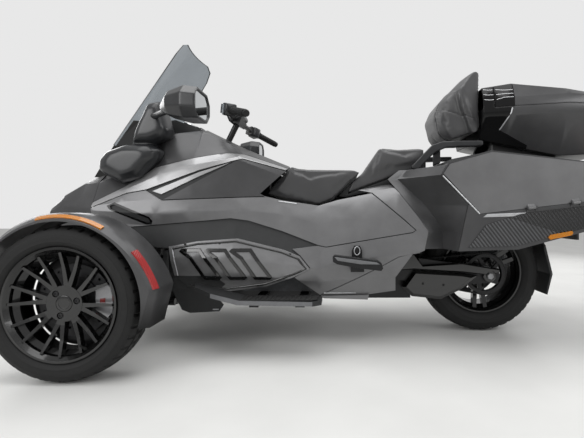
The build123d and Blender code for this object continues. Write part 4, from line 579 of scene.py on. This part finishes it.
def slotted(piece, centre, crown, rows):
    """Sinks cross slots into the tread, but nothing that lies within the crown radius."""
    def in_row(face):
        x, y, z = (face.center - centre) * 1000
        segment = int((math.atan2(z, x) / math.tau + 0.5) * TYRE_STEPS + 0.01)
        return math.hypot(x, z) > crown and any(low < y < high and (segment + shift) % SLOT_EVERY == 0
                                                for low, high, shift in rows)

    pick_faces(piece, in_row)
    bpy.ops.mesh.inset(thickness=0.0042, depth=-0.0045)
    put_down()


for word, section, crown, rows in [("left", FRONT_SECTION, 268, FRONT_ROWS),
                                   ("right", FRONT_SECTION, 268, FRONT_ROWS),
                                   ("rear", REAR_SECTION, 288, REAR_ROWS)]:
    centre = AXLES["wheel_" + word]
    half = [(y / 1000, r / 1000) for y, r in section]
    profile = [(-y, r) for y, r in reversed(half)] + half[1:]
    profile.append(profile[0])
    tyre = turned(centre, (0, 1, 0), profile, TYRE_STEPS)
    slotted(tyre, centre, crown, rows)
    dress(tyre, "tread_tyre_" + word, tyre_rubber, "wheel_" + word, angle=24)
    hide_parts("tyre_" + word)

# %% [markdown]
# ## Wheel hardware
# Three cone-seat lug bolts hold each front wheel, in deep counterbores round a plain pressed cap.
# A rubber valve stands in the rim, and a pressed shield keeps dust off the disc behind the wheel.

# %% Front caps, lug bolts and valves
def lug_bolt(centre, outward):
    """Hexagonal bolt head, 17 mm across its flats, chamfered and with a small dimple on top."""
    deselect()
    bpy.ops.mesh.primitive_cylinder_add(vertices=6, radius=0.0098, depth=0.010, location=centre,
                                        rotation=(math.radians(90), 0, 0))
    bolt = bpy.context.object
    bpy.ops.object.transform_apply()
    pick_faces(bolt, lambda face: face.normal.y * outward > 0.9)
    bpy.ops.mesh.inset(thickness=0.002, depth=0.0016)
    bpy.ops.mesh.inset(thickness=0.003, depth=0.0)
    bpy.ops.mesh.inset(thickness=0.0006, depth=-0.0025)
    put_down()
    return bolt


CAP_PROFILE = [(0.003, 0.0), (0.0032, 0.019), (0.0044, 0.0205), (0.0044, 0.0265), (0.0036, 0.0285),
               (-0.002, 0.0292), (-0.004, 0.0)]
VALVE_PROFILE = [(0.0, 0.0), (0.0, 0.0052), (0.010, 0.0046), (0.0105, 0.0030), (0.022, 0.0028),
                 (0.0222, 0.0040), (0.031, 0.0040), (0.032, 0.0034), (0.032, 0.0)]
# How far each is from the wheel's middle plane, how far from the axle, and its place in degrees
CAP_OUT, BOLT_OUT, VALVE_OUT = 0.0365, 0.034, 0.050
BOLT_CIRCLE, VALVE_CIRCLE = 0.046, 0.182
FIRST_BOLT, VALVE_TURN = 12, -62
for side, word in ((-1, "left"), (1, "right")):
    body = "wheel_" + word
    centre = AXLES[body]
    cap = turned(centre + Vector((0, side * CAP_OUT, 0)), (0, side, 0), CAP_PROFILE, steps=48)
    dress(cap, "hub_cap_" + word, wheel_lacquer, body)
    bolts = []
    for i in range(3):
        angle = math.radians(FIRST_BOLT + 120 * i)
        out = Vector((BOLT_CIRCLE * math.cos(angle), side * BOLT_OUT, BOLT_CIRCLE * math.sin(angle)))
        bolts.append(lug_bolt(centre + out, side))
    dress(joined(bolts), "lug_bolts_" + word, black_steel, body)
    angle = math.radians(VALVE_TURN)
    inward = Vector((-math.cos(angle), side * 0.9, -math.sin(angle)))
    out = Vector((VALVE_CIRCLE * math.cos(angle), side * VALVE_OUT, VALVE_CIRCLE * math.sin(angle)))
    valve = turned(centre + out, inward, VALVE_PROFILE, steps=16)
    dress(valve, "valve_" + word, grip_rubber, body)

# %% Pressed dust shield behind each front brake disc, fixed to the knuckle
SHIELD_PROFILE = [(0.0, 0.050), (0.0, 0.172), (-0.006, 0.178), (-0.0075, 0.178), (-0.0015, 0.1715),
                  (-0.0015, 0.050), (0.0, 0.050)]
SHIELD_OUT = 0.640
for side, word in ((-1, "left"), (1, "right")):
    axle = AXLES["wheel_" + word]
    shield = turned((axle.x, side * SHIELD_OUT, axle.z), (0, side, 0), SHIELD_PROFILE, steps=64)
    dress(shield, "dust_shield_" + word, black_steel, "knuckle_" + word)

# %% [markdown]
# ## Padded seats
# Each seat is moulded foam under stretched leathercloth: crowned panels, soft edges and sewn seams
# that pull in a few millimetres. The plain solid is copied and remeshed, made a little smaller, then
# blown up by a cloth simulation with air inside, so that it swells between its edges as foam does.
# The seams are cut afterwards, because a remesh would lose them.

# %% Remesh a copy of a plain part
def merged(node, name, weld):
    """Bare copy of a carried-over part, whose loose triangles are merged; it stays selected."""
    copy = duplicate(NODES[node], name)
    for key in list(copy.keys()):
        del copy[key]
    open_up(copy)
    bpy.ops.mesh.remove_doubles(threshold=weld)
    bpy.ops.object.mode_set(mode="OBJECT")
    return copy


def remeshed(node, name, voxel, passes, shrink=0.0):
    """Even mesh in the place of a plain part, its edges softened and its skin drawn in a little."""
    copy = merged(node, name, 0.00005)
    modify(copy, "REMESH", mode="VOXEL", voxel_size=voxel)
    modify(copy, "SMOOTH", factor=0.5, iterations=passes)
    if shrink:
        modify(copy, "DISPLACE", strength=-shrink, mid_level=0.0)
    return copy


# %% Blow up a padded copy of a plain seat
FRAMES = 20             # that the cloth simulation runs


def padded_copy(node, voxel, shrink, pressure, cap):
    """Soft mesh in the place of a plain seat: remeshed, shrunk, then swollen by at most cap metres."""
    pad = remeshed(node, node + "_pad", voxel, 6, shrink)
    before = [vertex.co.copy() for vertex in pad.data.vertices]
    cloth = pad.modifiers.new("cloth", "CLOTH")
    cloth.settings.use_pressure = True
    cloth.settings.uniform_pressure_force = pressure
    cloth.settings.effector_weights.gravity = 0.0
    cloth.settings.quality = 4
    cloth.collision_settings.use_collision = False
    for number in range(1, FRAMES + 1):
        bpy.context.scene.frame_set(number)
    swollen = pad.evaluated_get(bpy.context.evaluated_depsgraph_get()).data
    after = [vertex.co.copy() for vertex in swollen.vertices]
    pad.modifiers.clear()
    for vertex, old, new in zip(pad.data.vertices, before, after):
        move = new - old
        if move.length > cap:
            move = move.normalized() * cap
        vertex.co = old + move
    bpy.context.scene.frame_set(1)
    return pad


# %% Sew a seam, and finish a pad
def seam(pad, point, normal, depth, keep):
    """Sewn seam: the mesh is bisected by a plane, and the part of the cut to keep is pulled in."""
    open_up(pad)
    bpy.ops.mesh.bisect(plane_co=point, plane_no=normal)
    bpy.ops.object.mode_set(mode="OBJECT")
    for vertex in pad.data.vertices:
        if vertex.select and not keep(vertex.normal):
            vertex.select = False
    for edge in pad.data.edges:
        edge.select = all(pad.data.vertices[i].select for i in edge.vertices)
    for face in pad.data.polygons:
        face.select = False
    bpy.ops.object.mode_set(mode="EDIT")
    bpy.ops.transform.shrink_fatten(value=-depth)
    bpy.ops.object.mode_set(mode="OBJECT")


# A cushion's seams show on the faces that look up, and the backrest's on those that look forward
def on_top(normal):
    return normal.z > 0.1


def in_front(normal):
    return normal.x < 0.35


def finish_pad(pad, node):
    modify(pad, "SUBSURF", levels=1, render_levels=1)
    dress(pad, pad.name, seat_cloth, "chassis", angle=60)
    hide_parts(node)


# %% Driver's seat: a seam down each side
SEAM_DEPTH, BACK_SEAM_DEPTH = 0.003, 0.004
driver_pad = padded_copy("driver_seat", voxel=0.007, shrink=0.002, pressure=3.0, cap=0.006)
for side in (-1, 1):
    seam(driver_pad, (0, side * 0.196, 0.8), (0, 1, 0), SEAM_DEPTH, on_top)
finish_pad(driver_pad, "driver_seat")

# %% Passenger's seat: a seam down each side and one across its front
passenger_pad = padded_copy("passenger_seat", voxel=0.007, shrink=0.002, pressure=3.0, cap=0.006)
for side in (-1, 1):
    seam(passenger_pad, (0, side * 0.170, 0.85), (0, 1, 0), SEAM_DEPTH, on_top)
seam(passenger_pad, (0.172, 0, 0.915), (1, 0, -0.3), SEAM_DEPTH, on_top)
finish_pad(passenger_pad, "passenger_seat")

# %% Seat pan: the dark moulded tray under both seats, seen in the gap between them
PAN_OUTLINE = [(-36, 690), (20, 750), (27, 752), (12, 702), (100, 735), (206, 773), (330, 815),
               (330, 790), (206, 745), (100, 708), (0, 685)]
PAN_HALF = 0.188
pan = plate(side_line(PAN_OUTLINE, -PAN_HALF), (0, 2 * PAN_HALF, 0), bevel=0.002)
dress(pan, "seat_pan", grained_plastic, "chassis")

# %% Backrest: two seams down its front and one across
back_pad = padded_copy("backrest", voxel=0.008, shrink=0.003, pressure=4.0, cap=0.007)
for side in (-1, 1):
    seam(back_pad, (0.5, side * 0.118, 1.1), (0.12, side * 1.0, 0), BACK_SEAM_DEPTH, in_front)
seam(back_pad, (0.45, 0, 1.128), (0.35, 0, 1), BACK_SEAM_DEPTH, in_front)
finish_pad(back_pad, "backrest")

# %% [markdown]
# ## Fine trim on the bodywork
# Edge beads, bright strips, blank badge strips and fasteners are separate small pieces that clip or
# bolt on. Beads and screws are seated by lines cast onto the panel that carries them, and a flat
# plate lies in the plane of the face that it covers.

# %% Bright beads, and the channel round the vent panel
def bead(name, node, corners, radius, material=badge_silver, lift=BEAD_LIFT):
    """Bead seated on a left-hand panel, and its right-hand twin."""
    pair(tube(along_body(node, corners, lift), radius), name, material, angle=60)


bead("vent_edge_bead", "vent_panels", [(-0.770, 0.452), (-0.752, 0.372), (-0.744, 0.330)], 0.0022)
# Bright latch bar under the driver's seat, bright lips under the side panel and the front shield
bead("seat_latch_bar", "mid_panels", [(-0.312, 0.662), (-0.228, 0.650)], 0.0032)
bead("panel_lip", "lower_side_panels", [(-0.100, 0.2455), (0.045, 0.2455)], 0.0026)
bead("shield_lip", "vent_panels", [(-0.604, 0.170), (-0.578, 0.170)], 0.0026)
# Gloss-black channel that runs just inside the vent panel's edge, from its front top to its tip and
# back, half sunk into the panel
CHANNEL_ROUTE = [(-0.768, 0.449), (-0.657, 0.470), (-0.487, 0.481), (-0.287, 0.432), (-0.214, 0.403),
                 (-0.178, 0.359), (-0.236, 0.335), (-0.359, 0.291), (-0.535, 0.266), (-0.700, 0.284)]
bead("vent_channel", "vent_panels", CHANNEL_ROUTE, 0.0052, gloss_plastic, lift=-0.0008)

# %% Badge strips and caliper fields
def field(name, outline, y, thickness, material, bodies=("chassis", "chassis")):
    """Thin plate in a side plane from (x, z) corners in millimetres, and its right-hand twin."""
    pair(plate(side_line(outline, y), (0, -thickness, 0)), name, material, bodies)


# Blank silver badge strip over the seam between the case's door and its ribbed lower trim
field("badge_strip", [(572, 589), (590, 603), (752, 609), (736, 594)], -0.4864, 0.0022, badge_silver)
# Red enamel field on each front caliper
field("caliper_field", [(-908, 268), (-890, 266), (-888, 294), (-908, 292)], -0.696, 0.0014, red_enamel,
      ("knuckle_left", "knuckle_right"))

# %% Panel fasteners: low round screw heads with a round recess
SCREW_RADIUS = 0.0062
SCREW_PROFILE = [(-0.001, 0.0), (-0.001, SCREW_RADIUS), (0.0012, SCREW_RADIUS * 0.96),
                 (0.0026, SCREW_RADIUS * 0.72), (0.0030, SCREW_RADIUS * 0.45),
                 (0.0014, SCREW_RADIUS * 0.42), (0.0014, 0.0)]
for name, node, spots, material, slot in [
    ("vent_screws", "vent_panels", [(-0.712, 0.470), (-0.560, 0.474), (-0.250, 0.424)], gloss_plastic,
     "black_gloss"),
    ("guard_screws", "belt_cover", [(0.372, 0.268), (0.470, 0.262)], black_steel, "black_metal"),
    ("liner_screws", "side_liners", [(-0.815, 0.440), (-0.812, 0.350)], black_steel, "black_metal"),
]:
    heads = [turned(*seat(node, x, z), SCREW_PROFILE, steps=18) for x, z in spots]
    pair(joined(heads), name, material)

# %% [markdown]
# ## Footboards
# Each board carries a ribbed rubber mat.

# %% Rubber mats with raised ribs
BOARD_TOP, MAT_THICK = 0.2442, 0.002
MAT_OUTLINE = [(-0.445, -0.404), (-0.445, -0.508), (-0.146, -0.508), (-0.120, -0.486), (-0.120, -0.404),
               (-0.445, -0.404)]
RIB_FOOT, RIB_HEIGHT = 0.2445, 0.004    # a rib starts inside the mat and stands 2 mm out of it
RIB_IN, RIB_OUT, RIB_WIDTH = -0.412, -0.498, 0.008
FIRST_RIB, RIB_PITCH = -0.430, 0.021
mats = [plate([(x, y, BOARD_TOP) for x, y in MAT_OUTLINE], (0, 0, MAT_THICK))]
for i in range(14):
    near = FIRST_RIB + RIB_PITCH * i
    far = near + RIB_WIDTH
    rib = [(near, RIB_IN), (far, RIB_IN), (far, RIB_OUT), (near, RIB_OUT), (near, RIB_IN)]
    mats.append(plate([(x, y, RIB_FOOT) for x, y in rib], (0, 0, RIB_HEIGHT), bevel=0.0014))
pair(joined(mats), "board_mat", grip_rubber)

# %% [markdown]
# ## Grips and controls
# The grips are moulded rubber sleeves with rings of ribs. Inboard of each grip sits a switch pod
# with rockers, and a bar-end weight closes each bar.

# %% The straight end of each bar
BAR_BEND = Vector((-0.560, 0.262, 1.098))
BAR_END = Vector((-0.444, 0.402, 1.047))
GRIP_FROM, POD_AT = 0.27, 0.12      # as shares of the straight end
GRIP_LENGTH, WEIGHT_GAP = 0.138, 0.0015


def bar_points(side):
    """Start, direction, length and upward normal of a bar's straight end."""
    bend = Vector((BAR_BEND.x, side * BAR_BEND.y, BAR_BEND.z))
    end = Vector((BAR_END.x, side * BAR_END.y, BAR_END.z))
    along = (end - bend).normalized()
    return bend, along, (end - bend).length, (Vector((0, 0, 1)) - along * along.z).normalized()


# %% Ribbed grips and bar weights
GRIP_PROFILE = [(0.0, 0.0113), (0.0, 0.0195), (0.003, 0.0205), (0.008, 0.0205), (0.0095, 0.0162)]
for i in range(18):
    foot = 0.0115 + i * 0.0065
    GRIP_PROFILE += [(foot, 0.0162), (foot + 0.0012, 0.0174), (foot + 0.0038, 0.0174), (foot + 0.005, 0.0162)]
GRIP_PROFILE += [(0.1305, 0.0162), (0.1315, 0.0176), (0.137, 0.0176), (GRIP_LENGTH, 0.0166),
                 (GRIP_LENGTH, 0.0113), (0.0, 0.0113)]
WEIGHT_PROFILE = [(0.0, 0.0), (0.0, 0.0150), (0.002, 0.0160), (0.006, 0.0160), (0.007, 0.0148),
                  (0.0085, 0.0148), (0.0095, 0.0160), (0.013, 0.0155), (0.0145, 0.0135), (0.0145, 0.0)]
sleeves, weights = [], []
for side in (-1, 1):
    bend, along, length, _ = bar_points(side)
    sleeves.append(turned(bend + along * length * GRIP_FROM, along, GRIP_PROFILE, steps=40))
    weight_at = length * GRIP_FROM + GRIP_LENGTH + WEIGHT_GAP
    weights.append(turned(bend + along * weight_at, along, WEIGHT_PROFILE, steps=32))
sleeve_piece = joined(sleeves)
dress(sleeve_piece, "ribbed_grips", grip_rubber, "handlebar", angle=40)
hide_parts("grips")
dress(joined(weights), "bar_weights", black_steel, "handlebar")

# %% Three switch rockers on the back of each pod
POD_DEPTH = 0.0205          # from the bar's axis to the pod's back
rockers = []
for side in (-1, 1):
    bend, along, length, up = bar_points(side)
    pod_middle = bend + along * length * POD_AT
    back = along.cross(up).normalized()
    if back.x < 0:
        back = -back
    for shift, lift in ((-0.010, 0.010), (-0.010, -0.010), (0.010, 0.0)):
        spot = pod_middle + along * shift + up * lift + back * POD_DEPTH
        rocker = block(spot, along, back, length=0.014, width=0.011, height=0.005, bevel=0.001)
        rockers.append(rocker)
dress(joined(rockers), "switch_rockers", grained_plastic, "handlebar")

# %% [markdown]
# ## Instruments
# The binnacle's sloping top carries a blank glass display between two round gauges in chrome bezels.

# %% Gauges
slope = Vector((0.348, 0, 0.9375)).normalized()
GAUGE_X, GAUGE_OUT, GAUGE_Z = -0.778, 0.118, 1.0453
BEZEL_PROFILE = [(0.0, 0.0), (0.0, 0.046), (0.004, 0.0475), (0.0075, 0.0460), (0.0075, 0.0435),
                 (0.0035, 0.0420), (0.0030, 0.0)]
FACE_PROFILE = [(0.0, 0.0), (0.0, 0.0405), (0.0015, 0.0405), (0.0015, 0.0)]
for name, profile, lift, material, slot in [
    ("gauge_bezels", BEZEL_PROFILE, 0.0, chrome, "steel"),
    ("gauge_faces", FACE_PROFILE, 0.0032, gloss_plastic, "black_gloss"),
]:
    dials = []
    for side in (-1, 1):
        foot = Vector((GAUGE_X, side * GAUGE_OUT, GAUGE_Z)) + slope * lift
        dials.append(turned(foot, slope, profile, steps=48))
    dress(joined(dials), name, material, "chassis")

# %% Display glass, a little wider at its upper edge
down = Vector((0.9375, 0, -0.348))
middle = Vector((GAUGE_X, 0, 1.0455))
corners = [middle + down * a + Vector((0, b, 0))
           for a, b in ((-0.036, -0.066), (-0.036, 0.066), (0.036, 0.060), (0.036, -0.060), (-0.036, -0.066))]
dress(plate(corners, slope * 0.004, bevel=0.0012), "display_glass", gloss_plastic, "chassis")

# %% [markdown]
# ## Split finishes
# Several carried-over parts hold small solids of another colour. Their faces are told apart by
# where they lie, and take a second finish.

# %% Second finishes by place
def refinish(node, material, chosen):
    """Gives a second material to the faces whose centre and normal are chosen."""
    body = NODES[node]
    body.data.materials.append(material)
    index = len(body.data.materials) - 1
    count = 0
    for face in body.data.polygons:
        if chosen(face.center, face.normal):
            face.material_index = index
            count += 1
    print(node, material.name, count)


def on_caliper(spot, normal):
    """The caliper sits behind the axle and outboard of the knuckle."""
    axle = AXLES["wheel_left"]
    return spot.x > axle.x + 0.09 and abs(spot.y) > 0.635 and abs(spot.z - axle.z) < 0.07


# The rear one of each fender's two lamps is red, and the outer ends of the tail lamps are amber
for word in ("left", "right"):
    refinish("fender_lamps_" + word, red_lens, lambda spot, normal: spot.x > -0.80)
    refinish("knuckle_" + word, caliper_alloy, on_caliper)
refinish("tail_lamps", amber_lens, lambda spot, normal: abs(spot.y) > 0.47 and spot.x < 0.96)
# The vent panel's lower front is plain plastic, and so are the footboards' outer edges
refinish("vent_panels", grained_plastic, lambda spot, normal: spot.z < 0.332 and spot.x < -0.55)
refinish("windshield", dark_edge, lambda spot, normal: abs(normal.x) < 0.3)
refinish("floorboards", side_plastic, lambda spot, normal: abs(normal.y) > 0.8 and abs(spot.y) > 0.515)

# %% [markdown]
# ## Moulded pods, grab handles and mirror shells
# These are blow-moulded, so nothing on them is flat or sharp. Each is remeshed from its plain solid
# at 3.5 to 5 mm and smoothed until its edges flow, and keeps its outline.

# %% Pods, handles and mirrors with flowing edges
for node, name, voxel, passes, slot in [
    ("side_pods", "moulded_pods", 0.005, 26, "black_gloss"),
    ("grab_handles", "moulded_handles", 0.004, 8, "black_plastic"),
    ("mirrors", "mirror_shells", 0.0035, 8, "body_dark"),
]:
    shell = remeshed(node, name, voxel, passes)
    dress(shell, name, satin_black, "chassis", angle=70)
    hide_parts(node)

# %% [markdown]
# ## Bright lines and small fittings
# A silver strip follows the front edge of each case door, and chrome lines cross the gloss corner
# of the top case. A small steel nut on a dark boss closes the rear axle.

# %% Case edge strips and top-case lines
DOOR_EDGE = [(0.404, -0.4865, 0.7635), (0.4405, -0.4865, 0.726), (0.5585, -0.4865, 0.6035)]
pair(tube(DOOR_EDGE, 0.0032), "case_edge_strip", badge_silver, ("door_left", "door_right"),
     angle=60)
# Each line starts at one height and runs on at another
for name, node, body, (xa, xb, xc), heights in [
    ("top_case_lines", "top_case_base", "chassis", (0.656, 0.676, 0.698),
     ((1.1965, 1.192), (1.170, 1.166), (1.144, 1.141))),
    ("top_lid_lines", "top_case_lid", "topcase_lid", (0.710, 0.745, 0.784),
     ((1.192, 1.187), (1.166, 1.168), (1.141, 1.150))),
]:
    wires = [tube(along_body(node, [(xa, za), (xb, zb), (xc, zb)], BEAD_LIFT), 0.0016) for za, zb in heights]
    pair(joined(wires), name, chrome, (body, body), angle=60)
bead("top_case_strip", "top_case_base", [(0.7775, 1.100), (0.772, 1.076), (0.757, 1.046), (0.737, 1.006)],
     0.0034)

# %% Rear axle boss and nut on the left arm
BOSS_PROFILE = [(-0.001, 0.0), (-0.001, 0.031), (0.004, 0.0305), (0.0065, 0.028), (0.0065, 0.0)]
NUT_PROFILE = [(0.0, 0.0), (0.0, 0.0165), (0.011, 0.0165), (0.0130, 0.0148), (0.0130, 0.0095),
               (0.0115, 0.0085), (0.0115, 0.0)]
NUT_OUT = 0.0064
axle = AXLES["wheel_rear"]
foot, _ = seat("swingarm", axle.x, axle.z)
boss = turned(foot, (0, -1, 0), BOSS_PROFILE, steps=40)
dress(boss, "rear_axle_boss", gloss_plastic, "chassis")
nut = turned(foot + Vector((0, -NUT_OUT, 0)), (0, -1, 0), NUT_PROFILE, steps=6)
dress(nut, "rear_axle_nut", steel, "chassis", angle=20)

# %% Passenger pegs: a grey tread plate on each, and the bright ring round its bracket's slot
TREAD_SIDE, RING_SIDE = -0.4702, -0.3785
TREAD_OUTLINE = [(-50, 421.5), (128, 398.5), (143, 389.5), (60, 390.5), (-36, 405.5)]
tread = plate(side_line(TREAD_OUTLINE, TREAD_SIDE), (0, -0.0035, 0), bevel=0.0015)
pair(tread, "peg_tread", side_plastic)
RING_X, RING_Z, RING_HALF_WIDTH, RING_HALF_HEIGHT = 0.049, 0.4385, 0.0125, 0.0185
ring = []
for i in range(25):
    angle = math.tau * i / 24
    ring.append(Vector((RING_X + RING_HALF_WIDTH * math.cos(angle), RING_SIDE,
                        RING_Z + RING_HALF_HEIGHT * math.sin(angle))))
pair(tube(ring, 0.0022), "peg_ring", badge_silver, angle=60)

# %% Rounded covers over the switch pods and the bar clamp
POD_HEIGHT, CLAMP_HEIGHT = 0.058, 0.052
housings = []
for side in (-1, 1):
    bend, along, length, up = bar_points(side)
    foot = bend + along * length * POD_AT - up * POD_HEIGHT / 2
    pod = block(foot, along, up, length=0.050, width=0.056, height=POD_HEIGHT, bevel=0.009)
    housings.append(pod)
dress(joined(housings), "switch_housings", satin_black, "handlebar", angle=50)
COLUMN_RAKE = math.radians(26)
lean = Vector((-math.sin(COLUMN_RAKE), 0, math.cos(COLUMN_RAKE))).normalized()
clamp_foot = Vector((-0.5753, 0, 1.1133)) + lean * 0.004 - lean * CLAMP_HEIGHT / 2
cover = block(clamp_foot, Vector((0, 1, 0)), lean, length=0.150, width=0.078, height=CLAMP_HEIGHT,
              bevel=0.012)
dress(cover, "clamp_cover", satin_black, "handlebar", angle=50)

# %% [markdown]
# ## Panels shaded as curves
# The painted panels are gently curved mouldings with a few true folds. Their plain solids carry
# the curve as broad facets, so a merged copy of each is shaded as one surface up to 42 degrees.

# %% Shade the painted panels
for node in ["fairing_sides", "shoulder_panels", "mid_panels", "lower_side_panels", "vent_panels",
             "tank_cover", "nose", "frunk_lid", "fender_left", "fender_right", "side_cases",
             "column_panels", "top_case_base", "top_case_lid", "belt_cover", "screen_cowl", "tail_body"]:
    skin = merged(node, node + "_skin", 0.00002)
    bpy.ops.mesh.customdata_custom_splitnormals_clear()
    bpy.ops.object.shade_smooth_by_angle(angle=math.radians(42))
    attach(skin, NODES[node]["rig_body"])
    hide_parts(node)

# %% [markdown]
# ## Floor, light and camera
# A pale floor and five large soft lamps keep the dark paint readable. The camera stands where the
# photograph was taken: 2.2 m from the middle plane on the left side, 0.6 m up, looking level.

# %% Floor and backdrop
FLOOR_SIZE = (30, 30, 1)
deselect()
bpy.ops.mesh.primitive_plane_add(size=1, location=(0, 0, 0))
floor = bpy.context.object
floor.name = "studio_floor"
floor.scale = FLOOR_SIZE
material, tree, spot = start("pale_studio_floor")
spread_out = add(tree, "ShaderNodeMapping", Vector=spot, Scale=FLOOR_SIZE).outputs[0]
dust = add(tree, "ShaderNodeTexNoise", Vector=spread_out, Scale=3.0, Detail=5.0).outputs["Fac"]
pale = add(tree, "ShaderNodeValToRGB", stops=list(zip(EVEN, ("cfcfcd", "d5d5d3"))), Fac=dust).outputs["Color"]
close(tree, add(tree, "ShaderNodeBsdfPrincipled", Base_Color=pale, Roughness=0.7))
floor.data.materials.append(material)

world = bpy.data.worlds.new("studio_air")
bpy.context.scene.world = world
world.use_nodes = True
air = world.node_tree
soft_light = air.nodes["Background"]
soft_light.inputs["Color"].default_value = linear("f2f2f2")
soft_light.inputs["Strength"].default_value = 0.7
# The camera sees a lighter backdrop than the one that lights the vehicle
seen = add(air, "ShaderNodeBackground", Color=linear("e8e8e8"), Strength=1.0)
rays = add(air, "ShaderNodeLightPath").outputs
shown = add(air, "ShaderNodeMath", {"operation": "ADD", "use_clamp": True},
            {0: rays["Is Camera Ray"], 1: rays["Is Transmission Ray"]})
pick = add(air, "ShaderNodeMixShader", None,
           {0: shown.outputs[0], 1: soft_light.outputs[0], 2: seen.outputs[0]})
air.links.new(pick.outputs[0], air.nodes["World Output"].inputs["Surface"])

# %% Lamps: name, place, turn in degrees, size and power
for name, spot, turn, size, power in [
    ("ceiling_softbox", (-0.2, -0.5, 3.6), (8, 0, 0), 3.4, 92.0),
    ("front_left_softbox", (-2.6, -3.2, 1.9), (62, 0, -40), 1.8, 46.0),
    ("rear_left_softbox", (3.0, -2.4, 2.2), (60, 0, 50), 1.6, 32.0),
    ("front_right_softbox", (-3.4, 2.4, 2.0), (60, 0, 235), 1.8, 46.0),
    ("rear_right_softbox", (3.0, 3.0, 2.2), (60, 0, 135), 1.6, 34.0),
]:
    lamp = bpy.data.objects.new(name, bpy.data.lights.new(name, "AREA"))
    bpy.context.scene.collection.objects.link(lamp)
    lamp.location = spot
    lamp.rotation_euler = [math.radians(a) for a in turn]
    lamp.data.size = size
    lamp.data.energy = power

# %% Camera, solved from the wheels in the photograph
PHOTO_WIDTH = 584           # pixels
FOCAL = 412                 # in the same pixels
OFF_CENTRE = (-49, -4.8)    # how far the picture is cut off the lens's axis
camera = bpy.data.objects.new("camera", bpy.data.cameras.new("camera"))
bpy.context.scene.collection.objects.link(camera)
camera.location = (-0.0223, -2.211, 0.602)
camera.rotation_euler = (math.radians(90), 0, 0)
camera.data.sensor_width = 36.0
camera.data.lens = FOCAL / PHOTO_WIDTH * 36
camera.data.shift_x = OFF_CENTRE[0] / PHOTO_WIDTH
camera.data.shift_y = OFF_CENTRE[1] / PHOTO_WIDTH
bpy.context.scene.camera = camera
bpy.context.scene.view_settings.view_transform = "Standard"
